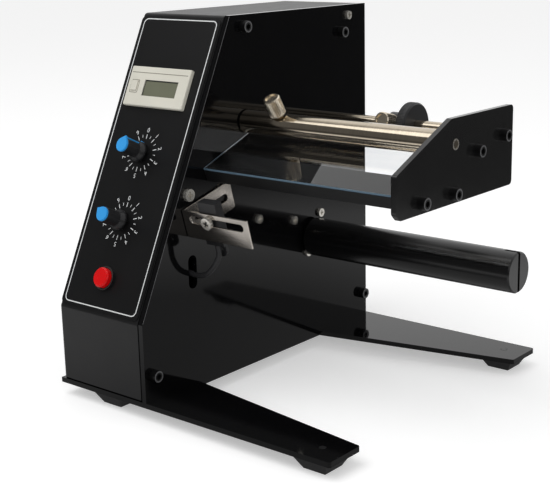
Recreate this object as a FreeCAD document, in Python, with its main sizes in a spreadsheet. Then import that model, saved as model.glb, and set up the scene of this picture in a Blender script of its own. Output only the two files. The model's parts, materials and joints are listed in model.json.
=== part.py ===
"""Desk-top label dispenser: a housing with a sloped control panel, a peel plate between two side
plates, a driven spindle that winds the empty liner, and a label sensor.

Places are given from three faces: X from the outer face of the main side plate (positive towards
the rollers), Y from the front of the housing, Z from the top of the base plate.  The written
pieces stand with the origin at the middle of the footprint, at the level of the feet.
"""
import FreeCAD, Part
import math
import os
import re

import Sketcher
from FreeCAD import Placement, Rotation, Vector

SIZES = [
    # Base, side plate and housing
    ("plate_wall", 3.0, "thickness of the base plate, the side plate and the end plate"),
    ("body_depth", 209.0, "front to rear of the base and the housing"),
    ("base_left", 71.8, "base plate to the left of the side plate's outer face"),
    ("leg_reach", 129.3, "legs to the right of the side plate's outer face"),
    ("front_leg_root", 43.5, "front leg's width at the side plate"),
    ("front_leg_tip", 25.6, "front leg's width at its tip"),
    ("rear_leg_root", 52.0, "rear leg's width at the side plate"),
    ("rear_leg_tip", 26.1, "rear leg's width at its tip"),
    ("leg_corner", 1.5, "corner radius of the legs"),
    ("side_height", 208.8, "height of the side plate"),
    ("side_front_height", 45.8, "height at which the side plate's edge turns back"),
    ("sheet", 1.2, "wall of the housing's folded sheet"),
    ("housing_left", 69.5, "housing to the left of the side plate's outer face"),
    ("housing_seam", 0.9, "open seam between the housing's sheet and the side plate"),
    ("housing_drop", 0.2, "housing's top below the side plate's top"),
    ("knee_height", 45.2, "height at which the control panel begins"),
    ("panel_lean", 25.83, "lean of the control panel, in degrees"),
    ("fold_radius", 2.5, "outer radius of the housing's folds"),
    ("front_gap", 1.0, "gap under the housing's front"),
    ("flange_width", 11.0, "width of the housing's inner flanges"),
    ("flange_hole_in", 6.6, "base screws from the housing's inner left face"),
    ("flange_hole_end", 41.8, "base screws from the ends of the housing"),
    ("cover_hole_in", 5.5, "rear cover's left screws from the housing's inner left face"),
    ("cover_hole_low", 62.6, "height of the rear cover's lower left screw"),
    ("cover_hole_high", 31.3, "rear cover's upper left screw below the housing's top"),
    ("angle_hole_inset", 19.0, "cover angle's side screw from the rear edge of the side plate"),
    ("angle_hole_drop", 6.3, "cover angle's screws below the housing's top"),
    ("angle_hole_up", 6.05, "cover angle's screws above its lower edge"),
    ("angle_hole_in", 6.6, "cover angle's rear screw from the side plate's inner face"),
    # Feet and fasteners
    ("foot_height", 7.5, "height of a rubber foot"),
    ("foot_top", 22.5, "foot's side at the base plate"),
    ("foot_bottom", 14.0, "foot's side at the table"),
    ("foot_inset", 12.5, "foot's centre from the front or rear edge of the base plate"),
    ("leg_foot_inset", 14.2, "right foot's centre from the end of its leg"),
    ("left_foot_across", 34.4, "left feet, across from the side plate's outer face"),
    ("foot_recess", 4.5, "radius of the recess for the foot's screw"),
    ("thread_gap", 0.05, "gap round a screw in its hole"),
    ("large_thread", 4.0, "M4 shank"),
    ("small_thread", 3.0, "M3 shank"),
    ("cap_head", 7.0, "width of an M4 socket head"),
    ("cap_rise", 4.0, "height of an M4 socket head"),
    ("cap_socket", 3.5, "width across the corners of the socket"),
    ("pan_head", 7.2, "width of an M4 pan head"),
    ("pan_rise", 2.3, "height of an M4 pan head"),
    ("small_head", 5.4, "width of an M3 pan head"),
    ("small_rise", 1.8, "height of an M3 pan head"),
    ("drive_slot", 0.8, "width of a cross recess"),
    ("screw_bite", 9.0, "length of thread in a post, rod or block"),
    ("drill_spare", 2.0, "blind hole beyond its screw"),
    ("tip_gap", 0.2, "gap beyond the tip of a screw that meets another piece"),
    ("sink_depth", 1.8, "depth of the recess for a countersunk head"),
    ("edge_break", 0.8, "small chamfer or round on turned and moulded edges"),
    ("cut_spare", 1.0, "outline of a cut beyond the piece"),
    ("post_radius", 5.0, "radius of the posts across the housing"),
    ("front_post_y", 90.5, "front post's place"),
    ("front_post_drop", 6.8, "front post below the side plate's top"),
    ("rear_post_inset", 26.0, "rear post from the rear of the base"),
    ("rear_post_drop", 16.6, "rear post below the side plate's top"),
    ("bracket_side", 21.0, "leg of the angle brackets at the foot of the side plate"),
    ("bracket_gap", 0.6, "angle brackets inside the housing's folds"),
    ("bracket_base_in", 12.6, "bracket's base screw from the side plate's inner face"),
    ("bracket_base_end", 14.7, "bracket's base screw from the end of the base plate"),
    ("bracket_hole", 14.85, "height of the bracket's screw"),
    ("bracket_hole_inset", 7.0, "bracket's screw from the front edge of the side plate"),
    ("rear_hole_inset", 5.5, "rear bracket's screw from the rear edge of the side plate"),
    ("flush_a_y", 128.8, "first flush screw's place"),
    ("flush_a_drop", 10.4, "first flush screw below the side plate's top"),
    ("flush_b_y", 166.8, "second flush screw's place"),
    ("flush_b_drop", 17.4, "second flush screw below the side plate's top"),
    ("flush_c_y", 165.3, "third flush screw's place"),
    ("flush_c_drop", 37.1, "third flush screw below the side plate's top"),
    # Control panel
    ("film", 0.5, "thickness of the panel's film"),
    ("film_left", 68.3, "film's left edge, across from the side plate's face"),
    ("film_right", 4.6, "film's right edge, across from the side plate's face"),
    ("film_start", 2.0, "film's lower edge, up from the knee"),
    ("film_margin", 2.04, "panel beyond the film's upper edge"),
    ("film_corner", 3.0, "film's corner radius"),
    ("dial_across", 37.4, "both dials and the button, across from the side plate's face"),
    ("length_dial_up", 96.4, "upper dial, up from the knee"),
    ("speed_dial_up", 55.4, "lower dial, up from the knee"),
    ("button_up", 21.2, "power button, up from the knee"),
    ("knob_height", 17.0, "top of a knob above the film"),
    ("knob_foot", 6.0, "radius of a knob at its foot"),
    ("knob_neck", 4.5, "radius of a knob under its cap"),
    ("knob_lift", 2.4, "gap from the film to a knob"),
    ("knob_skirt", 1.5, "height of a knob's skirt"),
    ("knob_shoulder", 3.0, "top of a knob's shoulder above its foot"),
    ("knob_step", 0.6, "knob's shoulder wider than its neck"),
    ("knob_roof", 2.0, "knob above the end of its shaft"),
    ("cap_radius", 4.15, "radius of a knob's cap"),
    ("cap_thick", 1.2, "thickness of a knob's cap"),
    ("pot_radius", 8.25, "radius of a potentiometer's case"),
    ("pot_depth", 9.0, "depth of a potentiometer's case"),
    ("bush_radius", 3.5, "radius of a potentiometer's bush"),
    ("bush_rise", 2.2, "bush above the film"),
    ("pot_shaft", 3.0, "radius of a potentiometer's shaft"),
    ("pot_nut", 5.6, "radius across the corners of a potentiometer's nut"),
    ("pot_nut_thick", 1.7, "thickness of a potentiometer's nut"),
    ("switch_barrel", 6.5, "radius of the power switch's barrel"),
    ("switch_depth", 20.0, "power switch behind the film"),
    ("switch_rim", 7.0, "radius of the power switch's rim"),
    ("switch_rim_rise", 1.6, "rim above the film"),
    ("button_radius", 5.8, "radius of the power button"),
    ("button_rise", 4.8, "power button above the film"),
    ("button_travel", 2.5, "travel of the power button"),
    ("button_long", 10.0, "length of the power button"),
    ("button_room", 0.5, "room under the pressed power button"),
    ("slide_gap", 0.08, "gap round a sliding or turning shaft"),
    ("nut_thick", 3.0, "thickness of the switch's nut"),
    ("nut_rim", 4.0, "corners of the switch's nut beyond its barrel"),
    ("counter_across", 38.0, "counter's centre, across from the side plate's face"),
    ("counter_up", 135.4, "counter's centre, up from the knee"),
    ("counter_width", 48.0, "counter's front, across"),
    ("counter_tall", 24.0, "counter's front, up the panel"),
    ("counter_rise", 2.6, "counter's front above the film"),
    ("case_width", 44.8, "counter's case, across"),
    ("case_tall", 22.0, "counter's case, up the panel"),
    ("case_depth", 42.0, "counter's case behind the film"),
    ("case_wall", 1.8, "wall of the counter's case"),
    ("clamp_wall", 2.5, "wall of the counter's clamping frame"),
    ("clamp_depth", 10.0, "depth of the counter's clamping frame"),
    ("window_width", 27.0, "counter's display, across"),
    ("window_tall", 9.7, "counter's display, up the panel"),
    ("window_shift", 3.0, "display to the right of the counter's centre"),
    ("window_drop", 0.9, "display below the counter's centre"),
    ("window_sunk", 0.6, "display below the counter's front"),
    ("display_thick", 3.0, "thickness of the display"),
    ("key_gap", 0.2, "gap between the reset key and the wall of the counter's case"),
    ("key_width", 4.8, "reset key, across"),
    ("key_tall", 6.0, "reset key, up the panel"),
    ("key_rise", 0.7, "reset key above the counter's front"),
    ("key_depth", 5.0, "reset key behind the counter's front"),
    # Peel plate and the rods between the two plates
    ("web_width", 140.5, "side plate's outer face to the end plate's inner face"),
    ("peel_front_y", 53.4, "peeling edge's place"),
    ("peel_front_z", 125.4, "peeling edge's height"),
    ("peel_tilt", 21.0, "rise of the peel plate towards the rear, in degrees"),
    ("peel_thick", 1.2, "thickness of the peel plate"),
    ("bar_along", 3.5, "front bar's middle behind the peeling edge"),
    ("bar_width", 8.0, "front bar along the plate"),
    ("bar_tall", 7.0, "front bar across the plate"),
    ("shelf_depth", 18.4, "rear edge of the front bar's shelf behind the peeling edge"),
    ("shelf_thick", 1.5, "thickness of the front bar's shelf"),
    ("rear_rod_y", 111.2, "rod under the plate's rear end"),
    ("rear_rod_radius", 5.0, "radius of the rod under the plate's rear end"),
    ("guide_rod_y", 138.4, "guide rod's place"),
    ("guide_rod_z", 145.5, "guide rod's height"),
    ("guide_rod_radius", 3.5, "radius of the guide rod"),
    ("liner_rod_y", 88.0, "liner rod's place"),
    ("liner_rod_z", 121.7, "liner rod's height"),
    ("liner_rod_radius", 4.0, "radius of the liner rod"),
    ("press_y", 90.4, "press tube's place"),
    ("press_gap", 0.4, "gap between the press tube and the peel plate"),
    ("press_radius", 6.8, "radius of the press tube"),
    ("press_bore", 5.0, "bore radius of the press tube"),
    ("press_shaft", 3.0, "radius of the press tube's shaft"),
    ("press_play", 1.0, "gap at each end of the press tube"),
    ("press_bush", 8.0, "length of the bushes in the press tube"),
    ("press_screw_x", 28.0, "press tube's thumbscrew from the side plate"),
    ("thumb_radius", 4.8, "radius of a thumbscrew's head"),
    ("thumb_tall", 11.5, "height of a thumbscrew's head"),
    ("thumb_gap", 1.0, "gap under a thumbscrew's head"),
    ("disc_face", 87.6, "guide disc's face from the side plate"),
    ("disc_radius", 13.2, "radius of the guide disc"),
    ("disc_thick", 6.5, "thickness of the guide disc"),
    ("hub_radius", 7.0, "radius of the guide disc's hub"),
    ("hub_spare", 0.3, "guide disc's hub beyond its thumbscrew's head, at each end"),
    ("end_front", 36.4, "front edge of the end plate"),
    ("end_rear", 149.0, "rear edge of the end plate"),
    ("end_bottom", 116.6, "lower edge of the end plate"),
    ("end_top", 161.1, "upper edge of the end plate"),
    ("end_nose_top", 139.3, "top of the end plate's front edge"),
    ("end_top_front", 86.0, "front end of the end plate's top edge"),
    ("end_nose_cut", 3.6, "chamfer at the end plate's lower front corner"),
    ("end_corner", 2.5, "corner radius of the end plate"),
    # Rewinding drive
    ("spindle_y", 150.9, "liner spindle's place"),
    ("spindle_z", 65.7, "liner spindle's height"),
    ("spindle_radius", 12.0, "radius of the liner spindle"),
    ("spindle_reach", 148.8, "end of the liner spindle from the side plate"),
    ("spindle_play", 2.6, "gap between the spindle and the side plate"),
    ("spindle_slit", 2.2, "width of the slit across the spindle's end"),
    ("slit_depth", 9.0, "depth of the slit across the spindle's end"),
    ("shaft_radius", 3.0, "radius of the motor's output shaft"),
    ("shaft_reach", 26.0, "output shaft beyond the side plate"),
    ("shaft_root", 20.0, "output shaft inside the gearbox"),
    ("gear_radius", 18.5, "radius of the gearbox"),
    ("gear_depth", 27.0, "depth of the gearbox"),
    ("gear_offset_y", 5.4, "gearbox's axis in front of the shaft"),
    ("gear_offset_z", 6.2, "gearbox's axis above the shaft"),
    ("boss_radius", 6.0, "radius of the gearbox's boss"),
    ("motor_radius", 17.0, "radius of the motor"),
    ("motor_depth", 30.0, "depth of the motor"),
    ("motor_circle", 15.5, "radius of the circle of the gearbox's screws"),
    ("motor_screw_turn", 30.0, "first gearbox screw's angle above the rear, in degrees"),
    ("motor_screw_bite", 7.2, "length of thread in the gearbox"),
    ("shaft_end_gap", 0.5, "gap at the output shaft's inner end"),
    ("set_screw_sunk", 1.0, "spindle's set screw below its surface"),
    ("set_screw_x", 14.0, "spindle's set screw from the side plate"),
    # Label sensor
    ("holder_wall", 1.2, "wall of the sensor's holder"),
    ("holder_lift", 0.4, "gap between the holder and the side plate"),
    ("holder_y", 33.9, "holder's upper front corner"),
    ("holder_z", 104.7, "height of the holder's upper front corner"),
    ("holder_tilt", 15.0, "rise of the holder towards the rear, in degrees"),
    ("holder_tall", 16.9, "height of the holder"),
    ("holder_length", 40.4, "holder's wing on the side plate"),
    ("holder_reach", 48.7, "holder's wing away from the side plate"),
    ("holder_chamfer", 5.0, "chamfer of the holder's rear corner, along the wing"),
    ("holder_chamfer_drop", 2.75, "chamfer of the holder's rear corner, down the wing"),
    ("holder_slot", 2.25, "half the width of the holder's slots"),
    ("holder_slot_down", 5.0, "front slot below the holder's upper edge"),
    ("holder_slot_start", 7.7, "first end of the front slot"),
    ("holder_slot_end", 42.8, "second end of the front slot"),
    ("wing_slot_down", 8.2, "wing's slot below the holder's upper edge"),
    ("wing_slot_start", 10.0, "first end of the wing's slot"),
    ("wing_slot_end", 33.8, "second end of the wing's slot"),
    ("holder_screw", 16.0, "holder's screw along the wing"),
    ("sensor_x", 19.5, "sensor's screw from the side plate"),
    ("sensor_width", 13.0, "width of the sensor"),
    ("sensor_above", 6.0, "sensor above the holder's upper edge"),
    ("sensor_below", 20.0, "sensor's body below the holder's upper edge"),
    ("sensor_deep", 5.5, "depth of the sensor's body"),
    ("sensor_screw_bite", 4.4, "length of thread in the sensor"),
    ("ear_thick", 2.0, "thickness of the sensor's ear"),
    ("ear_below", 28.5, "end of the sensor's ear below the holder's upper edge"),
    ("ear_hole_below", 24.2, "ear's hole below the holder's upper edge"),
    ("ear_radius", 4.0, "radius of the ear's end"),
    ("ear_hole", 1.6, "radius of the ear's hole"),
    ("lead_radius", 1.6, "radius of the sensor's lead"),
    ("lead_slot_y", 41.2, "lead's slot in the side plate"),
    ("lead_slot_low", 60.7, "lower centre of the lead's slot"),
    ("lead_slot_high", 73.5, "upper centre of the lead's slot"),
    ("lead_slot_half", 3.4, "half the width of the lead's slot"),
    # Control board, power supply and inlet
    ("board_standoff", 9.0, "length of the board's standoffs"),
    ("standoff_radius", 3.2, "radius of a standoff"),
    ("board_thick", 1.6, "thickness of the control board"),
    ("board_front", 36.2, "front edge of the control board"),
    ("board_rear", 106.0, "rear edge of the control board"),
    ("board_low", 80.5, "lower edge of the control board"),
    ("board_high", 116.0, "upper edge of the control board"),
    ("relay_along", 14.0, "relay from the control board's front edge"),
    ("relay_up", 6.0, "relay above the control board's lower edge"),
    ("relay_long", 16.0, "length of the board's relay"),
    ("relay_tall", 12.0, "height of the board's relay"),
    ("relay_deep", 10.0, "board's relay, away from the board"),
    ("driver_along", 36.0, "driver from the control board's front edge"),
    ("driver_up", 24.0, "driver above the control board's lower edge"),
    ("driver_long", 18.0, "length of the board's driver"),
    ("driver_tall", 9.0, "height of the board's driver"),
    ("driver_deep", 8.0, "board's driver, away from the board"),
    ("plug_along", 44.0, "plug from the control board's front edge"),
    ("plug_up", 4.0, "plug above the control board's lower edge"),
    ("plug_long", 10.0, "length of the board's plug"),
    ("plug_tall", 10.0, "height of the board's plug"),
    ("plug_deep", 9.0, "board's plug, away from the board"),
    ("capacitor_along", 4.0, "capacitor from the control board's front edge"),
    ("capacitor_up", 6.0, "capacitor above the control board's lower edge"),
    ("capacitor_long", 6.0, "length of the board's capacitor"),
    ("capacitor_tall", 14.0, "height of the board's capacitor"),
    ("capacitor_deep", 7.0, "board's capacitor, away from the board"),
    ("board_screw_a_y", 39.5, "larger board screw's place"),
    ("board_screw_a_z", 112.3, "larger board screw's height"),
    ("board_screw_b_y", 98.9, "smaller board screw's place"),
    ("board_screw_b_z", 87.0, "smaller board screw's height"),
    ("supply_back", 33.0, "power supply from the rear of the base"),
    ("supply_long", 72.0, "length of the power supply"),
    ("supply_wide", 42.0, "width of the power supply"),
    ("supply_tall", 27.0, "height of the power supply"),
    ("supply_right", 11.0, "power supply from the side plate's outer face"),
    ("inlet_across", 33.0, "inlet's centre, across from the side plate's face"),
    ("inlet_up", 32.0, "inlet's height"),
    ("inlet_flange", 3.0, "thickness of the inlet's flange"),
    ("inlet_flange_wide", 50.0, "width of the inlet's flange"),
    ("inlet_flange_tall", 24.0, "height of the inlet's flange"),
    ("inlet_wide", 27.4, "width of the inlet's body"),
    ("inlet_tall", 19.8, "height of the inlet's body"),
    ("inlet_deep", 22.0, "inlet's body inside the rear cover"),
    ("inlet_wall", 2.2, "wall of the inlet's body"),
    ("inlet_hole_pitch", 40.0, "pitch of the inlet's screws"),
    ("inlet_corner", 3.0, "corner radius of the inlet's flange"),
    ("pin_long", 16.0, "length of the inlet's pins"),
    ("pin_wide", 2.0, "thickness of an inlet's pin"),
    ("pin_tall", 4.0, "height of an inlet's pin"),
    ("pin_pitch", 7.0, "outer pins from the middle pin, across"),
    ("pin_offset", 2.0, "pins above and below the inlet's middle"),
    ("vent_long", 34.0, "length of the rear cover's vents"),
    ("vent_half", 1.6, "half the height of a vent"),
    ("vent_pitch", 8.0, "pitch of the vents"),
    ("vent_first", 120.0, "height of the lowest vent"),
]

VENTS = 5
CROSS_SHARE = 0.6  # length of a cross recess over the width of its head

# The thumbscrews' directions: turns about X from straight up.
PRESS_SCREW_TURN = 30
GUIDE_SCREW_TURN = 75

# The sensor lead's route, up to the point under the sensor where its last run begins.
LEAD_ROUTE = [(-20.0, 41.2, 72.0), (-8.0, 41.2, 67.6), (3.0, 40.8, 65.6), (11.0, 40.8, 67.0),
              (16.6, 41.6, 72.6)]
LEAD_LAST_RUN = 7.0
RUN_SHARE = 0.45  # how much of the shorter run an arc of the lead takes

BOARD_PARTS = ["relay", "driver", "plug", "capacitor"]
NEAR = 1e-6  # millimetres within which two places count as one

# What follows from the driving dimensions.
DERIVED = {
    "origin_x": "(spindle_reach - base_left) / 2",
    "origin_y": "(body_depth + inlet_flange) / 2",
    "origin_z": "-(plate_wall + foot_height)",
    "housing_height": "side_height - housing_drop",
    "front_post_z": "side_height - front_post_drop",
    "rear_post_y": "body_depth - rear_post_inset",
    "rear_post_z": "side_height - rear_post_drop",
    "panel_rise": "housing_height - knee_height",
    "slope": "panel_lean * 1 deg",
    "panel_run": "panel_rise * tan(slope)",
    "side_top_front": "(side_height - side_front_height) * tan(slope)",
    "film_end": "panel_rise / cos(slope) - film_margin",
    "clear_large": "large_thread / 2 + thread_gap",
    "clear_small": "small_thread / 2 + thread_gap",
    "peel": "peel_tilt * 1 deg",
    "holder": "holder_tilt * 1 deg",
    "inner_left": "housing_left - sheet",
    "post_length": "inner_left - plate_wall",
    # The front bar lies against the underside of the peel plate.
    "bar_sunk": "peel_thick + bar_tall / 2",
    "bar_y": "peel_front_y + bar_along * cos(peel) + bar_sunk * sin(peel)",
    "bar_z": "peel_front_z + bar_along * sin(peel) - bar_sunk * cos(peel)",
    # The rear rod touches the underside of the peel plate.
    "rear_sunk": "peel_thick + rear_rod_radius",
    "rear_rod_z": "peel_front_z + (rear_rod_y - peel_front_y) * tan(peel) - rear_sunk / cos(peel)",
    "peel_length": "(rear_rod_y - peel_front_y - rear_sunk * sin(peel)) / cos(peel) + rear_rod_radius",
    "press_above": "press_radius + press_gap",
    "press_z": "peel_front_z + (press_y - peel_front_y) * tan(peel) + press_above / cos(peel)",
    "hub_length": "2 * (thumb_radius + hub_spare)",
    "gear_y": "spindle_y - gear_offset_y",
    "gear_z": "spindle_z + gear_offset_z",
    "end_outer": "web_width + plate_wall",
    "board_x": "plate_wall + board_standoff",
    "supply_front": "body_depth - supply_back - supply_long",
    "key_shift": "case_width / 2 - case_wall - key_gap - key_width / 2",
    "key_x": "counter_across + key_shift",
    "window_x": "counter_across - window_shift",
    "window_up": "counter_up - window_drop",
}

doc = FreeCAD.newDocument("LabelDispenser")
sheet = doc.addObject("Spreadsheet::Sheet", "Sizes")
for row, (alias, number, meaning) in enumerate(SIZES, start=1):
    sheet.set(f"A{row}", meaning)
    sheet.set(f"B{row}", str(number))
    sheet.setAlias(f"B{row}", alias)
doc.recompute()

ALIASES = {alias for alias, number, meaning in SIZES}
NODES = []


def formula(text):
    """The expression for the document: sizes by their cells, derived values spelled out."""

    def swap(match):
        word = match[0]
        if word in ALIASES:
            return f"Sizes.{word}"
        if word in DERIVED:
            return f"({formula(DERIVED[word])})"
        return word

    return re.sub(r"[a-z]\w*", swap, str(text))


def size(text):
    """The number that an expression stands for, in millimetres or degrees."""
    value = sheet.evalExpression(formula(text))
    return float(getattr(value, "Value", value))


def bind(thing, **properties):
    for name, text in properties.items():
        thing.setExpression(name, formula(text))


def publish(name, thing):
    """Name a finished piece, which also names its file."""
    thing.Label = name
    NODES.append(thing)
    return thing


# Placements


def locate(thing, x, y, z, rotation=Rotation()):
    """Put a piece at a point given from the side plate's face, the front and the base's top."""
    thing.Placement = Placement(Vector(), rotation)
    thing.setExpression("Placement.Base.x", formula(f"{x} - origin_x"))
    thing.setExpression("Placement.Base.y", formula(f"{y} - origin_y"))
    thing.setExpression("Placement.Base.z", formula(f"{z} - origin_z"))
    return thing


TURN_X = Vector(1, 0, 0)
UPRIGHT = Rotation()
RIGHTWARD = Rotation(Vector(0, 1, 0), 90)
LEFTWARD = Rotation(Vector(0, 1, 0), -90)
REARWARD = Rotation(TURN_X, -90)
DOWNWARD = Rotation(TURN_X, 180)


def locate_turned(thing, x, y, z, angle):
    """Put a piece at a point, turned about X by an expression."""
    locate(thing, x, y, z, Rotation(TURN_X, size(angle)))
    thing.setExpression("Placement.Rotation.Angle", formula(angle))
    return thing


def locate_on_panel(thing, across, up, rise="0"):
    """Put a piece on the sloped panel, with its Z axis along the panel's outward normal."""
    y = f"({up}) * sin(slope) - ({rise}) * cos(slope)"
    z = f"knee_height + ({up}) * cos(slope) + ({rise}) * sin(slope)"
    return locate_turned(thing, f"-({across})", y, z, "90 deg - slope")


def locate_on_holder(thing, x, along, up, turn="0 deg"):
    """Put a piece in the sensor holder's tilted frame: along the wing and up from its top edge."""
    y = f"holder_y + ({along}) * cos(holder) - ({up}) * sin(holder)"
    z = f"holder_z + ({along}) * sin(holder) + ({up}) * cos(holder)"
    return locate_turned(thing, x, y, z, f"holder + {turn}")


# Sketches and features


def new_body(name):
    return doc.addObject("PartDesign::Body", name + "_body")


def new_sketch(body, role, lift="0"):
    """A sketch on one of the body's own origin planes, lifted along the plane's normal."""
    sketch = body.newObject("Sketcher::SketchObject", body.Name + "_sketch")
    plane = next(item for item in body.Origin.OriginFeatures if item.Role == role)
    sketch.AttachmentSupport = [(plane, "")]
    sketch.MapMode = "FlatFace"
    sketch.setExpression("AttachmentOffset.Base.z", formula(lift))
    return sketch


def tie(sketch, kind, *fields):
    """Add a constraint whose last field is an expression."""
    index = sketch.addConstraint(Sketcher.Constraint(kind, *fields[:-1], size(fields[-1])))
    sketch.setExpression(f"Constraints[{index}]", formula(fields[-1]))


def tie_point(sketch, geometry, point, x, y):
    tie(sketch, "DistanceX", -1, 1, geometry, point, x)
    tie(sketch, "DistanceY", -1, 1, geometry, point, y)


def draw_polygon(sketch, corners):
    points = [Vector(size(x), size(y), 0) for x, y in corners]
    start = sketch.GeometryCount
    count = len(points)
    for index in range(count):
        sketch.addGeometry(Part.LineSegment(points[index], points[(index + 1) % count]))
    for index in range(count):
        following = start + (index + 1) % count
        sketch.addConstraint(Sketcher.Constraint("Coincident", start + index, 2, following, 1))
    for index, (x, y) in enumerate(corners):
        tie_point(sketch, start + index, 1, x, y)


def draw_rectangle(sketch, x0, y0, x1, y1):
    draw_polygon(sketch, [(x0, y0), (x1, y0), (x1, y1), (x0, y1)])


def draw_circle(sketch, x, y, radius):
    centre = Vector(size(x), size(y), 0)
    index = sketch.addGeometry(Part.Circle(centre, Vector(0, 0, 1), size(radius)))
    tie_point(sketch, index, 3, x, y)
    tie(sketch, "Radius", index, radius)


def draw_slot(sketch, x0, y0, x1, y1, half):
    """A slot with round ends between two centres."""
    start = Vector(size(x0), size(y0), 0)
    end = Vector(size(x1), size(y1), 0)
    run = (end - start).normalize()
    side = Vector(-run.y, run.x, 0) * size(half)
    angle = math.atan2(side.y, side.x)
    normal = Vector(0, 0, 1)
    first_circle = Part.Circle(start, normal, side.Length)
    last_circle = Part.Circle(end, normal, side.Length)
    first = sketch.addGeometry(Part.ArcOfCircle(first_circle, angle, angle + math.pi))
    last = sketch.addGeometry(Part.ArcOfCircle(last_circle, angle - math.pi, angle))
    lower = sketch.addGeometry(Part.LineSegment(start - side, end - side))
    upper = sketch.addGeometry(Part.LineSegment(end + side, start + side))
    for pair in ((first, 2, lower, 1), (lower, 2, last, 1), (last, 2, upper, 1), (upper, 2, first, 1)):
        sketch.addConstraint(Sketcher.Constraint("Tangent", *pair))
    tie_point(sketch, first, 3, x0, y0)
    tie_point(sketch, last, 3, x1, y1)
    tie(sketch, "Radius", first, half)


def add_pad(body, sketch, length, taper=None):
    pad = body.newObject("PartDesign::Pad", body.Name + "_pad")
    pad.Profile = sketch
    pad.setExpression("Length", formula(length))
    if taper:
        pad.setExpression("TaperAngle", formula(taper))
    doc.recompute()
    return pad


def add_pocket(body, sketch, depth=None, towards_normal=False):
    """Cut a sketch's outline: right through both ways, or to a depth on one side of its plane."""
    before = body.Tip.Shape.Volume
    pocket = body.newObject("PartDesign::Pocket", body.Name + "_pocket")
    pocket.Profile = sketch
    if depth is None:
        pocket.Type = "ThroughAll"
        pocket.SideType = "Symmetric"
    else:
        pocket.setExpression("Length", formula(depth))
        pocket.Reversed = towards_normal
    doc.recompute()
    if pocket.Shape.Volume >= before:
        raise ValueError(f"{pocket.Name} cuts nothing")
    return pocket


def drill(body, role, holes, lift="0", depth=None, towards_normal=False):
    """Round holes given as (x, y, radius) on one of the body's origin planes."""
    sketch = new_sketch(body, role, lift)
    for x, y, radius in holes:
        draw_circle(sketch, x, y, radius)
    return add_pocket(body, sketch, depth, towards_normal)


def round_edges(body, radius, chosen):
    """Fillet the edges of the body's tip that a test picks."""
    tip = body.Tip
    names = [f"Edge{number}" for number, edge in enumerate(tip.Shape.Edges, 1) if chosen(edge)]
    fillet = body.newObject("PartDesign::Fillet", body.Name + "_fillet")
    fillet.Base = (tip, names)
    fillet.setExpression("Radius", formula(radius))
    doc.recompute()
    return fillet


def runs_along(edge, axis):
    """Whether an edge is straight and parallel to an axis."""
    if len(edge.Vertexes) != 2 or edge.Curve.TypeId != "Part::GeomLine":
        return False
    first, last = (vertex.Point for vertex in edge.Vertexes)
    return (last - first).cross(axis).Length < NEAR


AXIS_X = Vector(1, 0, 0)
AXIS_Y = Vector(0, 1, 0)
AXIS_Z = Vector(0, 0, 1)


def turned(name, profile):
    """A turned piece about its own Z axis, from corners given as (radius, height)."""
    body = new_body(name)
    sketch = new_sketch(body, "XZ_Plane")
    draw_polygon(sketch, profile)
    turning = body.newObject("PartDesign::Revolution", body.Name + "_turning")
    turning.Profile = sketch
    turning.ReferenceAxis = (sketch, ["V_Axis"])
    turning.Angle = 360
    doc.recompute()
    return body


def rod(name, radius, length):
    return turned(name, [("0", "0"), (radius, "0"), (radius, length), ("0", length)])


def sleeve(name, inner, outer, low, high):
    return turned(name, [(inner, low), (outer, low), (outer, high), (inner, high)])


def extruded(name, role, outline, length, lift="0"):
    body = new_body(name)
    sketch = new_sketch(body, role, lift)
    draw_polygon(sketch, outline)
    add_pad(body, sketch, length)
    return body


def block(name, x_size, y_size, z_size):
    box = doc.addObject("Part::Box", name + "_box")
    bind(box, Length=x_size, Width=y_size, Height=z_size)
    return box


def cylinder(name, radius, height):
    thing = doc.addObject("Part::Cylinder", name + "_cylinder")
    bind(thing, Radius=radius, Height=height)
    return thing


def fuse(name, *things):
    joined = doc.addObject("Part::MultiFuse", name + "_fuse")
    joined.Shapes = list(things)
    return joined


def cut(name, base, tool):
    result = doc.addObject("Part::Cut", name + "_cut")
    result.Base = base
    result.Tool = tool
    return result


def group(name, things):
    """Several separate solids in one node."""
    compound = doc.addObject("Part::Compound", name + "_group")
    compound.Links = things
    return publish(name, compound)


# Screws: the underside of the head lies at Z = 0 and the shank points down.


def socket_screw(name, length):
    head = cylinder(name + "_head", "cap_head / 2", "cap_rise")
    shank = cylinder(name + "_shank", "large_thread / 2", length)
    shank.setExpression("Placement.Base.z", formula(f"-({length})"))
    socket = doc.addObject("Part::Prism", name + "_socket")
    socket.Polygon = 6
    bind(socket, Circumradius="cap_socket / 2", Height="cap_rise")
    socket.setExpression("Placement.Base.z", formula("cap_rise / 2"))
    return cut(name, fuse(name, head, shank), socket)


def cross_screw(name, head_width, head_rise, thread, length):
    """A pan-head screw with a cross recess half as deep as its head."""
    head = cylinder(name + "_head", f"{head_width} / 2", head_rise)
    shank = cylinder(name + "_shank", f"{thread} / 2", length)
    shank.setExpression("Placement.Base.z", formula(f"-({length})"))
    recess = []
    long = f"{head_width} * {CROSS_SHARE}"
    for turn, (x_size, y_size) in enumerate(((long, "drive_slot"), ("drive_slot", long))):
        arm = block(f"{name}_recess{turn}", x_size, y_size, head_rise)
        arm.setExpression("Placement.Base.x", formula(f"-({x_size}) / 2"))
        arm.setExpression("Placement.Base.y", formula(f"-({y_size}) / 2"))
        arm.setExpression("Placement.Base.z", formula(f"{head_rise} / 2"))
        recess.append(arm)
    return cut(name, fuse(name, head, shank), fuse(name + "_cross", *recess))


def large_pan_screw(name, length):
    return cross_screw(name, "pan_head", "pan_rise", "large_thread", length)


def small_pan_screw(name, length):
    return cross_screw(name, "small_head", "small_rise", "small_thread", length)


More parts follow.
